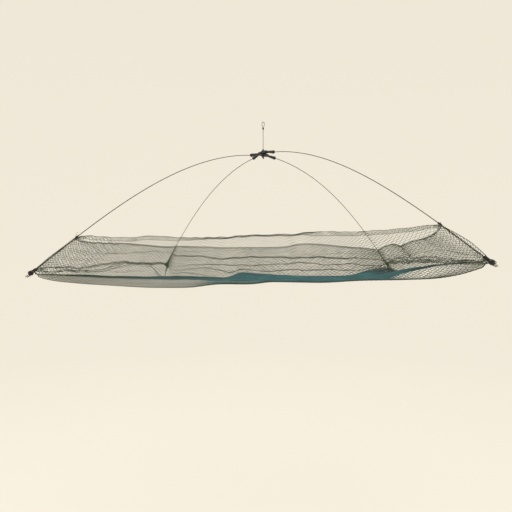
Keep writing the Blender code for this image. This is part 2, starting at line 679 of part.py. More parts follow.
def add_lacing_cord(wall, material):
    """The cord that laces a wall to the floor, from one corner's lashing to the other's."""
    keep_off = CAP_RADIUS + 2 * LASHING + CORD_RADIUS + 2 * GAP
    places = [step / SEARCH_STEPS for step in range(SEARCH_STEPS + 1)]

    def clear(along):
        point = seam_point(wall, along)
        for name in (wall.start, wall.end):
            tip, ahead = point_before_end(RIB[name], 0.0)
            offset = point - tip
            if (offset - ahead * offset.dot(ahead)).length < keep_off:
                return False
        return True

    used = [along for along in places if clear(along)]
    first, last = used[0], used[-1]
    columns = [wall_column(column / WALL_GRID[0]) for column in range(WALL_GRID[0] + 1)]
    inner = [along for along in columns if first + LEAST_STEP < along < last - LEAST_STEP]
    points = [seam_point(wall, along) for along in (first, *inner, last)]
    return add_tube(f"lacing_{wall.name}", points, CORD_RADIUS, material)


# ---------------------------------------------------------------- lift line


def add_line(rivet_bottom, line_material, knot_material):
    """The taut line: knotted under the hollow rivet, up through it, and tied in a loop at the top."""
    knot_top = -LOOP_HEIGHT
    start = rivet_bottom - GAP
    finish = knot_top - 2 * LOOP_KNOT[1] - GAP
    rises = [start + (finish - start) * step / LINE_STEPS for step in range(LINE_STEPS + 1)]
    add_tube("lift_line", [Vector((0, 0, z)) for z in rises], LINE_RADIUS, line_material)
    add_knot("stop_knot", Vector((0, 0, start - STOP_KNOT[1] - GAP)), *STOP_KNOT, knot_material)

    half = LOOP_HEIGHT / 2
    loop = []
    middle = knot_top + half - LINE_RADIUS
    for step in range(LINE_STEPS):
        angle = math.tau * step / LINE_STEPS
        width = LOOP_WIDTH / 2 * (1 - LOOP_TAPER + LOOP_TAPER * math.sin(angle))
        loop.append(Vector((math.cos(angle) * width, 0.0, middle + math.sin(angle) * half)))
    ring = tube_as_mesh(add_tube("top_loop", loop, LINE_RADIUS, line_material, cyclic=True))
    knot_centre = Vector((0, 0, knot_top - LOOP_KNOT[1]))
    boolean(ring, add_knot("top_knot", knot_centre, *LOOP_KNOT, line_material, CUTTERS), "UNION")


# ---------------------------------------------------------------- build

clear_scene()
PARTS = new_collection("umbrella_lift_net")
CUTTERS = new_collection("cutters")

black_plastic = new_material("black_plastic", (0.012, 0.012, 0.013), 0.42)
spring_wire = new_material("spring_wire", (0.34, 0.32, 0.27), 0.38, 0.85)
floor_netting = new_material("floor_netting", (0.045, 0.16, 0.19), 0.55)
wall_netting = new_material("wall_netting", (0.09, 0.12, 0.085), 0.6)
lacing_cord = new_material("lacing_cord", (0.035, 0.07, 0.06), 0.7)
tie_thread = new_material("tie_thread", (0.015, 0.016, 0.018), 0.75)
pale_cord = new_material("pale_cord", (0.62, 0.58, 0.48), 0.8)
line_cord = new_material("line_cord", (0.30, 0.28, 0.23), 0.7)

add_hub_bar("hub_lower_bar", CORNER["front_left"], CORNER["back_right"], LOWER_BAR_RISE, black_plastic)
add_hub_bar("hub_upper_bar", CORNER["back_left"], CORNER["front_right"], UPPER_BAR_RISE, black_plastic)
RIVET_BOTTOM = add_rivet(black_plastic)
for each in CORNERS:
    add_rib(each, spring_wire)
    add_tip_fittings(each, black_plastic, tie_thread, pale_cord)
    add_hem_tie(each, tie_thread)
for each in WALLS:
    add_sheet(f"wall_{each.name}", WALL_GRID, laced_wall(each), wall_netting, hem_rows=1)
    add_lacing_cord(each, lacing_cord)
add_sheet("net_floor", FLOOR_GRID, laced_floor, floor_netting)
add_line(RIVET_BOTTOM, line_cord, tie_thread)
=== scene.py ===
"""Umbrella lift net, dressed: its netting in real twine, its twisted cords and wraps, its sprung frame."""

import logging
import math
from collections.abc import Sequence
from dataclasses import dataclass, field
from enum import Enum
from typing import ClassVar

import bpy
import numpy as np
from mathutils import Matrix, Vector


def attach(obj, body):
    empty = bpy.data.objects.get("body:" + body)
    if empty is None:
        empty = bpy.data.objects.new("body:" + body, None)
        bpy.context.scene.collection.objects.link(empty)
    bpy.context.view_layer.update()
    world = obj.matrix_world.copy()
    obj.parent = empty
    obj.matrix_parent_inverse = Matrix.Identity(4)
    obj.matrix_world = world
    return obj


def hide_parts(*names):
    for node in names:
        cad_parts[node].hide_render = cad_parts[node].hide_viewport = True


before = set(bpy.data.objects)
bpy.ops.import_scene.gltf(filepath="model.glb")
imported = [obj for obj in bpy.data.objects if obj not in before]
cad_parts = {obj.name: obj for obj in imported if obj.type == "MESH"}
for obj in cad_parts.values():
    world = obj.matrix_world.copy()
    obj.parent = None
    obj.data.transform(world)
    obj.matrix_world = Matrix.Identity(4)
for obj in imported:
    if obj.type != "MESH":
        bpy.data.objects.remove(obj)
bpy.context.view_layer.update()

LOG = logging.getLogger("lift_net")
BODY = "root"
UP = np.array((0.0, 0.0, 1.0))

# ---------------------------------------------------------------- sizes shared with the frame

SIDE = 1.0  # floor edge from one rib tip to the next
NET_CENTRE = np.array((0.010, 0.001, 0.0))
TIP_LEVEL = -0.470  # the level that every rise is measured from
RIB_RADIUS = 0.0010
CORD_RADIUS = 0.00125
LINE_RADIUS = 0.0008
RIB_CLEARANCE = 0.0027  # from a rib's axis to the edge of a wall
CORNER_LIFT, CORNER_REACH = 0.09, 0.06  # how much a wall's foot is pulled up near a corner, and how near
ARM = 0.052  # from the hub's axis to the mouth of a socket
SOCKET_DEPTH = 0.018
PLATE_THICKNESS = 0.0066
RIVET_FOOT = 0.0030  # how far the rivet stands out under the lower bar
LOWER_BAR_RISE = 0.3600
CAP_RADIUS = 0.0042
CAP_BEFORE, CAP_BEYOND = 0.009, 0.0035  # how far a cap reaches before and beyond its rib's tip
LASHING = 0.0011  # radius of the cord round a cap
KNOT_RADIUS = 0.0032
TIE_LENGTH, TIE_RADIUS = 0.012, 0.0030
TIE_REACH = 0.008
GAP = 0.0003
LOOP_HEIGHT, LOOP_WIDTH = 0.019, 0.010
LOOP_TAPER = 0.25  # how much narrower the loop is at its foot
LOOP_KNOT = 0.0038  # half the height of the knot under the loop
HEM_SEAM_HEIGHT = 0.10  # least height of a wall, for the share of it that its seam takes up
BUNCH_RADIUS = 0.010  # netting this near a cap is bunched behind it
BUNCH_WRAP = {"front_left": 0.008, "front_right": 0.014, "back_right": 0.008, "back_left": 0.008}
WRAP_ROOM = 0.0016  # the netting keeps this far off a cap's or a tie's wrapping
HEM_LEVEL_PER_METRE = 7.8  # what share of a wall's height a metre of its folded hem takes up

# ---------------------------------------------------------------- how finely things are made

RIB_STEPS = 112
SHARP_ANGLE = 35.0  # degrees past which an edge of a hard piece stays sharp


@dataclass(frozen=True)
class Corner:
    """A corner of the net: where its rib ends, how the rib leaves the hub, and where the walls are tied."""

    name: str
    side_x: int
    side_y: int
    tip_rise: float
    mouth_rise: float
    root_droop: float
    tie_back: float


@dataclass(frozen=True)
class Seam:
    """A place on the seam of floor and wall: how far it is drawn in, and its rise above the tip level."""

    along: float
    drawn_in: float
    rise: float


@dataclass(frozen=True)
class Hem:
    """A place on a wall's top edge: its sag, its wave outwards, and how tightly it is rolled, 0 to 1."""

    along: float
    sag: float
    wave: float
    roll: float


@dataclass(frozen=True)
class Fold:
    """A soft ridge, or a trough where its height is negative, from one place on a panel to another."""

    from_along: float
    from_down: float
    to_along: float
    to_down: float
    half_width: float
    height: float


@dataclass(frozen=True)
class Crease:
    """A place on a gathered crease: where it lies down the wall, and how tightly it is gathered, 0 to 1."""

    along: float
    level: float
    tight: float


@dataclass(frozen=True)
class Gather:
    """A crease that takes up cloth: how much at its tightest, its band's height and depth, its zigzags."""

    course: tuple[Crease, ...]
    cloth: float
    band: float = 0.004
    depth: float = 0.004
    turns: int = 2


@dataclass(frozen=True)
class Floor:
    """A cross-section of the floor: its rise behind the front seam, in the middle and before the back seam.

    The brim is how much of the rise behind the front seam is already made half-way to it.
    """

    along: float
    front: float
    middle: float
    back: float
    brim: float = 0.5


CORNERS = (
    Corner("front_left", -1, -1, -0.025, 0.350, 8.0, 0.134),
    Corner("front_right", 1, -1, -0.001, 0.359, 8.0, 0.142),
    Corner("back_right", 1, 1, -0.013, 0.357, 5.0, 0.108),
    Corner("back_left", -1, 1, -0.009, 0.358, 6.0, 0.130),
)


# ---------------------------------------------------------------- curves


def hermite(places: np.ndarray, values: np.ndarray, at: np.ndarray) -> np.ndarray:
    """A smooth curve through the values that doesn't overshoot between them.

    Args:
        places: where the values lie, rising.
        values: one row for each place; each row may hold a value for each point asked.
        at: the points asked.

    Returns:
        The value at each point.
    """
    at = np.asarray(at, float)
    rows = values.reshape(len(places), -1)
    rows = np.broadcast_to(rows, (len(places), at.size if rows.shape[1] == 1 else rows.shape[1]))
    steps = np.diff(rows, axis=0) / np.diff(places)[:, None]
    inner = np.where(steps[:-1] * steps[1:] > 0, (steps[:-1] + steps[1:]) / 2, 0.0)
    slopes = np.concatenate([steps[:1], inner, steps[-1:]])
    flat = at.reshape(-1)
    index = np.clip(np.searchsorted(places, flat, side="right") - 1, 0, len(places) - 2)
    pick = np.arange(flat.size)
    width = (places[index + 1] - places[index])
    t = (flat - places[index]) / width
    result = (
        (2 * t**3 - 3 * t**2 + 1) * rows[index, pick]
        + (t**3 - 2 * t**2 + t) * width * slopes[index, pick]
        + (3 * t**2 - 2 * t**3) * rows[index + 1, pick]
        + (t**3 - t**2) * width * slopes[index + 1, pick]
    )
    return result.reshape(at.shape)


def smooth_value(rows: Sequence[object], column: str, at: np.ndarray) -> np.ndarray:
    """A table's column on a smooth curve.

    Args:
        rows: the table, each row with its place in `along`.
        column: the column's name.
        at: the places asked.

    Returns:
        The column's value at each place.
    """
    places = np.array([row.along for row in rows])
    values = np.array([getattr(row, column) for row in rows])
    return hermite(places, values, at)


def fold_height(folds: Sequence[Fold], along: np.ndarray, down: np.ndarray) -> np.ndarray:
    """The sum of a panel's soft ridges.

    Args:
        folds: the panel's ridges and troughs.
        along: places along the panel.
        down: places down the panel.

    Returns:
        The height at each place, in metres.
    """
    total = np.zeros(np.broadcast(along, down).shape)
    for fold in folds:
        run = np.array((fold.to_along - fold.from_along, fold.to_down - fold.from_down))
        x, y = along - fold.from_along, down - fold.from_down
        t = (x * run[0] + y * run[1]) / (run @ run)
        aside = np.hypot(x - run[0] * t, y - run[1] * t) / fold.half_width
        shape = np.exp(-aside * aside) * np.sin(math.pi * np.clip(t, 0, 1))
        total = total + fold.height * shape
    return total


RIPPLES = ((5.3, 2.1, 0.4), (11.7, -3.7, 1.9), (3.1, 6.9, 4.2), (19.3, 8.3, 2.6), (8.9, -11.9, 5.1))
RIPPLE_FADE = 0.6  # how much weaker each next ripple is than the first
RIPPLE_SUM = 2.2  # about the most that the ripples add up to


def ripple(along: np.ndarray, down: np.ndarray, height: float, turn: float) -> np.ndarray:
    """Small uneven waves, the same at each run.

    Args:
        along: places along the panel.
        down: places down the panel.
        height: how high the waves are, in metres.
        turn: shifts the waves, so that no two panels are alike.

    Returns:
        The height at each place.
    """
    total = 0.0
    for number, (across, drop, phase) in enumerate(RIPPLES):
        wave = np.sin(math.tau * (across * along + drop * down) + phase + turn)
        total = total + wave / (1 + RIPPLE_FADE * number)
    return total * height / RIPPLE_SUM


def lengths_along(line: np.ndarray) -> np.ndarray:
    """How far along a line of points each of them lies."""
    return np.concatenate([[0], np.cumsum(np.linalg.norm(np.diff(line, axis=0), axis=1))])


def unit(vectors: np.ndarray) -> np.ndarray:
    """The vectors, each made one long."""
    return vectors / np.maximum(np.linalg.norm(vectors, axis=-1, keepdims=True), 1e-12)


def across_wave(along: np.ndarray, count: float, shift: np.ndarray | float = 0.0) -> np.ndarray:
    """A wave from -1 to 1 along a panel, so many times over, shifted by an angle."""
    return np.sin(math.tau * count * along + shift)


def mix(first: np.ndarray, last: np.ndarray, share: np.ndarray) -> np.ndarray:
    """Points between two points, or between two sets of them, each at its share of the way."""
    share = np.asarray(share)[..., None]
    return first * (1 - share) + last * share


# ---------------------------------------------------------------- meshes


def mesh_of(
    name: str, points: np.ndarray, groups: Sequence[np.ndarray], unrolled: np.ndarray
) -> bpy.types.Mesh:
    """A smooth mesh of joined small shapes.

    Args:
        name: the mesh's name.
        points: its vertices, one a row.
        groups: faces by their number of corners, each an array of vertex numbers, one face a row.
        unrolled: for each vertex its length along its twine and its turn round it, kept as the UV map.

    Returns:
        The mesh.
    """
    mesh = bpy.data.meshes.new(name)
    corners = np.concatenate([group.reshape(-1) for group in groups]).astype(np.int32)
    totals = np.concatenate([np.full(len(group), group.shape[1], np.int32) for group in groups])
    starts = np.concatenate([[0], np.cumsum(totals)[:-1]]).astype(np.int32)
    mesh.vertices.add(len(points))
    mesh.vertices.foreach_set("co", points.astype(np.float32).reshape(-1))
    mesh.loops.add(len(corners))
    mesh.loops.foreach_set("vertex_index", corners)
    mesh.polygons.add(len(totals))
    mesh.polygons.foreach_set("loop_start", starts)
    mesh.polygons.foreach_set("loop_total", totals)
    layer = mesh.uv_layers.new(name="twist")
    layer.uv.foreach_set("vector", unrolled[corners].astype(np.float32).reshape(-1))
    mesh.update(calc_edges=True)
    mesh.shade_smooth()
    return mesh


@dataclass(frozen=True)
class Twist:
    """The outside of a twine: the sides it is drawn with, and its twisted strands that show, if any.

    The pitch is the length of one turn of those strands, and the groove how deep it is between them, as a
    share of the twine's radius.
    """

    sides: int = 3
    lobes: int = 0
    pitch: float = 0.008
    groove: float = 0.16


THIN_TWINE, DOUBLED_TWINE, PLAIN_THREAD = Twist(3), Twist(4), Twist(6)
STEEP = 0.9  # a line that climbs more than this can't be guided by the upright


@dataclass
class Strands:
    """Tubes gathered to be joined in one mesh: twine, cord, thread or wire."""

    points: list[np.ndarray] = field(default_factory=list)
    unrolled: list[np.ndarray] = field(default_factory=list)
    quads: list[np.ndarray] = field(default_factory=list)
    ends: dict[int, list[np.ndarray]] = field(default_factory=dict)
    count: int = 0

    def add(
        self, lines: np.ndarray, radius: np.ndarray | float, twist: Twist = THIN_TWINE,
        normals: np.ndarray | None = None, mitre: float = 1.0, closed: bool = False,
    ) -> None:
        """Adds one tube for each line.

        Args:
            lines: the lines' points, as lines by points by three, or one line's points.
            radius: the tubes' radius, one for all or one for each point.
            twist: the tubes' sides and strands.
            normals: the direction of each point's first side; left out, it is carried along the line.
            mitre: how much wider the tube is across its bends.
            closed: whether each line runs back to its start.
        """
        lines = lines[None] if lines.ndim == 2 else lines
        count, steps = lines.shape[:2]
        before, after = np.roll(lines, 1, axis=1), np.roll(lines, -1, axis=1)
        if not closed:
            before[:, 0], after[:, -1] = lines[:, 0], lines[:, -1]
        ahead = unit(after - before)
        first = carried_normals(ahead) if normals is None else unit(
            normals - ahead * np.sum(normals * ahead, axis=-1, keepdims=True)
        )
        second = np.cross(ahead, first)
        run = np.cumsum(np.linalg.norm(np.diff(lines, axis=1), axis=-1), axis=1)
        lengths = np.concatenate([np.zeros((count, 1)), run], axis=1)[..., None]
        turn = np.arange(twist.sides) * math.tau / twist.sides
        reach = np.broadcast_to(np.asarray(radius, float), (count, steps))[..., None] * np.ones(twist.sides)
        if twist.lobes:
            phase = twist.lobes * (turn - math.tau * lengths / twist.pitch)
            reach = reach * (1 - twist.groove * (0.5 - 0.5 * np.cos(phase)) ** 2)
        ring = (
            lines[:, :, None]
            + first[:, :, None] * (np.cos(turn) * reach)[..., None]
            + second[:, :, None] * (np.sin(turn) * reach)[..., None] * mitre
        )
        shares = np.broadcast_to(turn / math.tau, reach.shape)
        unrolled = np.stack([np.broadcast_to(lengths, reach.shape), shares], axis=-1)
        index = self.count + np.arange(reach.size).reshape(reach.shape)
        low, high = (index, np.roll(index, -1, axis=1)) if closed else (index[:, :-1], index[:, 1:])
        quads = np.stack([low, np.roll(low, -1, axis=2), np.roll(high, -1, axis=2), high], axis=-1)
        self.points.append(ring.reshape(-1, 3))
        self.unrolled.append(unrolled.reshape(-1, 2))
        self.quads.append(quads.reshape(-1, 4))
        if not closed:
            self.ends.setdefault(twist.sides, []).extend([index[:, 0, ::-1], index[:, -1]])
        self.count += reach.size

    def mesh(self, name: str) -> bpy.types.Mesh:
        """The gathered tubes as one mesh of this name."""
        groups = [np.concatenate(self.quads)] + [np.concatenate(ends) for ends in self.ends.values()]
        return mesh_of(name, np.concatenate(self.points), groups, np.concatenate(self.unrolled))

    def piece(self, name: str, finish: "Finish", slot: str, *nodes: str) -> bpy.types.Object:
        """Puts the gathered tubes in the scene as one piece, which stands for these solids."""
        return add_piece(name, self.mesh(name), finish, nodes)


def carried_normals(ahead: np.ndarray) -> np.ndarray:
    """Normals that turn as little as they can along each line.

    Args:
        ahead: the direction at each point, as lines by points by three.

    Returns:
        A direction square to each of them.
    """
    guide = np.where(np.abs(ahead[:, :1, 2:]) < STEEP, UP, np.array((1.0, 0.0, 0.0)))[:, 0]
    normals = np.empty_like(ahead)
    for step in range(ahead.shape[1]):
        guide = unit(guide - ahead[:, step] * np.sum(guide * ahead[:, step], axis=-1, keepdims=True))
        normals[:, step] = guide
    return normals


def helix(
    line: np.ndarray, radius: np.ndarray | float, turns: float, steps: int, start: float = 0.0
) -> np.ndarray:
    """A wrapping round a line.

    Args:
        line: the points of the line that is wrapped.
        radius: from the line to the wrapping's middle, one for all or one for each step.
        turns: how many times it goes round.
        steps: how many points it has.
        start: the turn at which it starts, in radians.

    Returns:
        The wrapping's points.
    """
    lengths = lengths_along(line)
    places = np.linspace(0, lengths[-1], steps)
    centre = np.stack([np.interp(places, lengths, axis) for axis in line.T], axis=-1)
    ahead = unit(np.gradient(centre, axis=0))
    first = carried_normals(ahead[None])[0]
    second = np.cross(ahead, first)
    angle = (start + np.linspace(0, math.tau * turns, steps))[:, None]
    reach = np.broadcast_to(np.asarray(radius, float), (steps,))[:, None]
    return centre + (first * np.cos(angle) + second * np.sin(angle)) * reach


def curved(points: Sequence[Sequence[float]], steps: int) -> np.ndarray:
    """A smooth line through a few points.

    Args:
        points: the points that it passes.
        steps: how many steps it has.

    Returns:
        The line's points.
    """
    given = np.array(points, float)
    places = lengths_along(given)
    at = np.linspace(0, places[-1], steps + 1)
    return np.stack([hermite(places, axis, at) for axis in given.T], axis=-1)


# ---------------------------------------------------------------- finishes


class Tree:
    """A material being built, with short ways to add its nodes."""

    FIRST, LAST, MIXED = 6, 7, 2  # a Mix node's two colour sockets, and its colour output

    def __init__(self, name: str) -> None:
        """Starts a new material with its shader.

        Args:
            name: the material's name.
        """
        self.material = bpy.data.materials.new(name)
        self.material.use_nodes = True
        self.nodes = self.material.node_tree.nodes
        self.links = self.material.node_tree.links
        self.shader = self.nodes["Principled BSDF"]

    def add(self, kind: str, **inputs: object) -> bpy.types.Node:
        """Adds a node.

        Args:
            kind: the node's type, without its ShaderNode prefix.
            inputs: its properties and the values of its sockets, by name, with _ for a space.

        Returns:
            The node.
        """
        node = self.nodes.new(f"ShaderNode{kind}")
        for key, value in inputs.items():
            if hasattr(node, key):
                setattr(node, key, value)
            else:
                node.inputs[key.replace("_", " ")].default_value = value
        return node

    def link(self, source: bpy.types.NodeSocket, target: bpy.types.NodeSocket) -> None:
        """Joins an output to an input."""
        self.links.new(source, target)

    def coordinates(self, output: str) -> bpy.types.NodeSocket:
        """The object's own coordinates, or its UV map."""
        return self.add("TexCoord").outputs[output]

    def scaled(self, output: str, scale: tuple[float, float, float]) -> bpy.types.NodeSocket:
        """Stretched coordinates.

        Args:
            output: which coordinates, Object or UV.
            scale: how much finer they become along each axis.

        Returns:
            The coordinates.
        """
        node = self.add("Mapping", Scale=scale)
        self.link(self.coordinates(output), node.inputs["Vector"])
        return node.outputs["Vector"]

    def noise(self, scale: float, detail: float = 3.0) -> bpy.types.NodeSocket:
        """A noise on the object's coordinates.

        Args:
            scale: how fine it is, per metre.
            detail: how many finer layers it has.

        Returns:
            The noise as a value.
        """
        node = self.add("TexNoise", Scale=scale, Detail=detail)
        self.link(self.coordinates("Object"), node.inputs["Vector"])
        return node.outputs["Fac"]

    def blend(self, share: bpy.types.NodeSocket, first: object, last: object) -> bpy.types.NodeSocket:
        """Mixes two colours.

        Args:
            share: how much of the last shows.
            first: a colour or an output.
            last: a colour or an output.

        Returns:
            The mixed colour.
        """
        node = self.add("Mix", data_type="RGBA", blend_type="MIX")
        self.link(share, node.inputs["Factor"])
        for socket, value in ((node.inputs[self.FIRST], first), (node.inputs[self.LAST], last)):
            if isinstance(value, bpy.types.NodeSocket):
                self.link(value, socket)
            else:
                socket.default_value = (*value, 1.0)
        return node.outputs[self.MIXED]

    def multiply(self, first: bpy.types.NodeSocket, last: bpy.types.NodeSocket) -> bpy.types.NodeSocket:
        """Darkens a colour by a value.

        Args:
            first: the colour.
            last: the value, 1 where the colour stays as it is.

        Returns:
            The darkened colour.
        """
        node = self.add("Mix", data_type="RGBA", blend_type="MULTIPLY")
        node.inputs["Factor"].default_value = 1.0
        self.link(first, node.inputs[self.FIRST])
        self.link(last, node.inputs[self.LAST])
        return node.outputs[self.MIXED]

    def span(
        self, source: bpy.types.NodeSocket, low: float, high: float,
        to_low: float = 0.0, to_high: float = 1.0,
    ) -> bpy.types.NodeSocket:
        """A value carried from one span to another, and kept inside it.

        Args:
            source: the value.
            low: the value that becomes to_low.
            high: the value that becomes to_high.
            to_low: one end of the new span.
            to_high: its other end.

        Returns:
            The new value.
        """
        node = self.add("MapRange", From_Min=low, From_Max=high, To_Min=to_low, To_Max=to_high)
        self.link(source, node.inputs["Value"])
        return node.outputs["Result"]

    def bump(self, height: bpy.types.NodeSocket, strength: float, distance: float) -> None:
        """Raises the surface by a height.

        Args:
            height: the height, 0 to 1.
            strength: how strongly it shows.
            distance: how far a height of 1 stands out, in metres.
        """
        node = self.add("Bump", Strength=strength, Distance=distance)
        self.link(height, node.inputs["Height"])
        self.link(node.outputs["Normal"], self.shader.inputs["Normal"])


@dataclass(frozen=True)
class Tint:
    """A colour that takes over from one level to another along an axis of the panel."""

    axis: str
    start: float
    finish: float
    colour: tuple[float, float, float]


@dataclass(frozen=True)
class TwineFinish:
    """Twisted twine or cord: two near colours in patches, its tints, and the lay of its strands."""

    name: str
    colour: tuple[float, float, float]
    other: tuple[float, float, float]
    roughness: float = 0.6
    patch_scale: float = 14.0
    lay: float = 420.0
    sheen: float = 0.05
    specular: float = 0.2
    patch_stretch: tuple[float, float, float] = (1.0, 1.0, 1.0)
    tints: tuple[Tint, ...] = ()
    patch_edges: tuple[float, float] = (0.35, 0.65)
    groove_shade: float = 0.72
    groove_depth: float = 0.0002

    def material(self) -> bpy.types.Material:
        """Makes the finish, which follows the twine by its UV map and the panel by its coordinates.

        Returns:
            The material.
        """
        tree = Tree(self.name)
        shader = tree.shader
        shader.inputs["Roughness"].default_value = self.roughness
        shader.inputs["Specular IOR Level"].default_value = self.specular
        shader.inputs["Sheen Weight"].default_value = self.sheen
        noise = tree.add("TexNoise", Scale=self.patch_scale, Detail=3.0)
        tree.link(tree.scaled("Object", self.patch_stretch), noise.inputs["Vector"])
        patches = tree.span(noise.outputs["Fac"], *self.patch_edges)
        colour = tree.blend(patches, self.colour, self.other)
        split = tree.add("SeparateXYZ")
        tree.link(tree.coordinates("Object"), split.inputs["Vector"])
        for tint in self.tints:
            share = tree.span(split.outputs[tint.axis], tint.start, tint.finish)
            colour = tree.blend(share, colour, tint.colour)
        lay = tree.add("TexWave", Scale=1.0, bands_direction="DIAGONAL", wave_profile="SIN")
        tree.link(tree.scaled("UV", (self.lay, 3.0, 1.0)), lay.inputs["Vector"])
        groove = tree.span(lay.outputs["Fac"], 0.0, 0.5, self.groove_shade, 1.0)
        tree.link(tree.multiply(colour, groove), shader.inputs["Base Color"])
        tree.bump(lay.outputs["Fac"], 0.5, self.groove_depth)
        return tree.material


@dataclass(frozen=True)
class HardFinish:
    """Moulded plastic or drawn wire: a fine grain, with patches that are rubbed pale or stained.

    The patches and the grain are each given by the scale and the detail of their noise.
    """

    name: str
    colour: tuple[float, float, float]
    patch: tuple[float, float, float]
    roughness: float
    roughness_range: tuple[float, float]
    patch_noise: tuple[float, float]
    patch_edges: tuple[float, float]
    gloss_scale: float
    grain_noise: tuple[float, float]
    grain_strength: float
    grain_depth: float
    metallic: float = 0.0
    specular: float = 0.5

    def material(self) -> bpy.types.Material:
        """Makes the finish.

        Returns:
            The material.
        """
        tree = Tree(self.name)
        tree.shader.inputs["Metallic"].default_value = self.metallic
        tree.shader.inputs["Specular IOR Level"].default_value = self.specular
        patches = tree.span(tree.noise(*self.patch_noise), *self.patch_edges)
        tree.link(tree.blend(patches, self.colour, self.patch), tree.shader.inputs["Base Color"])
        low, high = (self.roughness + change for change in self.roughness_range)
        rough = tree.span(tree.noise(self.gloss_scale), 0.3, 0.7, low, high)
        tree.link(rough, tree.shader.inputs["Roughness"])
        tree.bump(tree.noise(*self.grain_noise), self.grain_strength, self.grain_depth)
        return tree.material


class Finish(Enum):
    """The finishes of the net, each made once."""

    # painted shade: the walls' twine is darker and more olive than the floor's, for walls lit from behind
    WALL_TWINE = TwineFinish("wall_twine", (0.054, 0.076, 0.034), (0.076, 0.096, 0.046), patch_scale=9.0)
    # painted light: the floor's twine is brighter and bluer than the walls', for the floor lit from above
    FLOOR_TWINE = TwineFinish(
        "floor_twine", (0.010, 0.074, 0.094), (0.030, 0.155, 0.190), patch_scale=16.0,
        patch_stretch=(1.0, 0.3, 1.0), tints=(
            Tint("X", -0.02, -0.34, (0.009, 0.034, 0.030)), Tint("X", 0.36, 0.48, (0.008, 0.026, 0.044)),
            Tint("Y", -0.425, -0.450, (0.130, 0.142, 0.095)),
        ),
    )
    LACING = TwineFinish("lacing_twist", (0.022, 0.040, 0.030), (0.036, 0.054, 0.040), 0.7, lay=260.0)
    THREAD = TwineFinish("wrapping_thread", (0.012, 0.013, 0.015), (0.022, 0.023, 0.026), 0.6, lay=600.0)
    PALE_CORD = TwineFinish("pale_twist", (0.46, 0.44, 0.38), (0.36, 0.34, 0.29), 0.8, lay=300.0)
    LINE = TwineFinish(
        "line_twist", (0.014, 0.013, 0.011), (0.026, 0.024, 0.021), 0.8, lay=330.0, sheen=0.0, specular=0.1
    )
    BLACK_PLASTIC = HardFinish(
        "moulded_black", (0.008, 0.008, 0.009), (0.040, 0.040, 0.041), 0.42, (-0.08, 0.12),
        patch_noise=(240.0, 5.0), patch_edges=(0.58, 0.78), gloss_scale=90.0,
        grain_noise=(2600.0, 2.0), grain_strength=0.12, grain_depth=0.0002,
    )
    SPRING_WIRE = HardFinish(
        "drawn_wire", (0.062, 0.056, 0.046), (0.030, 0.026, 0.021), 0.5, (-0.1, 0.15),
        patch_noise=(55.0, 4.0), patch_edges=(0.5, 0.72), gloss_scale=160.0,
        grain_noise=(1800.0, 2.0), grain_strength=0.08, grain_depth=0.0001, metallic=0.3, specular=0.2,
    )

    def material(self) -> bpy.types.Material:
        """The finish's material, made when first asked for."""
        found = bpy.data.materials.get(self.value.name)
        return found or self.value.material()


def add_piece(
    name: str, mesh: bpy.types.Mesh, finish: Finish, nodes: Sequence[str] = ()
) -> bpy.types.Object:
    """Puts a mesh in the scene as a piece of the net.

    Args:
        name: the piece's name.
        mesh: its mesh, with its place in it.
        finish: what it is made of.
        nodes: the plain solids that it stands for.

    Returns:
        The piece.
    """
    piece = bpy.data.objects.new(name, mesh)
    bpy.context.scene.collection.objects.link(piece)
    mesh.materials.clear()
    mesh.materials.append(finish.material())
    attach(piece, BODY)
    if nodes:
        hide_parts(*nodes)
    LOG.info("%s: %d faces, %s", name, len(mesh.polygons), finish.value.name)
    return piece


def turned(name: str, profile: Sequence[tuple[float, float]], sides: int) -> bpy.types.Mesh:
    """A profile turned round the upright axis; where it runs upwards the surface faces outwards.

    Args:
        name: the mesh's name.
        profile: the radius and the height of each ring; a radius of 0 is a point on the axis.
        sides: how many sides a ring has.

    Returns:
        The mesh.
    """
    angles = (np.arange(sides) * math.tau / sides).tolist()
    points, rings, faces = [], [], []
    for radius, height in profile:
        around = angles if radius else angles[:1]
        rings.append([len(points) + side % len(around) for side in range(sides)])
        points.extend((radius * math.cos(angle), radius * math.sin(angle), height) for angle in around)
    for low, high in zip(rings, rings[1:]):
        for side in range(sides):
            after = (side + 1) % sides
            faces.append(tuple(dict.fromkeys((low[side], low[after], high[after], high[side]))))
    mesh = bpy.data.meshes.new(name)
    mesh.from_pydata(points, [], faces)
    mesh.shade_smooth()
    return mesh


# ---------------------------------------------------------------- ribs


@dataclass(frozen=True)
class Spot:
    """A place on a rib, the direction towards the rib's tip, and two directions square to that."""

    point: np.ndarray
    ahead: np.ndarray
    side: np.ndarray
    up: np.ndarray

    def around(self, places: Sequence[tuple[float, float]], radius: float) -> list[np.ndarray]:
        """Points round the rib.

        Args:
            places: for each point how far ahead it lies, and its turn round the rib in radians.
            radius: how far they lie from the rib's middle.

        Returns:
            The points.
        """
        return [
            self.point + self.ahead * x + (self.side * math.cos(turn) + self.up * math.sin(turn)) * radius
            for x, turn in places
        ]


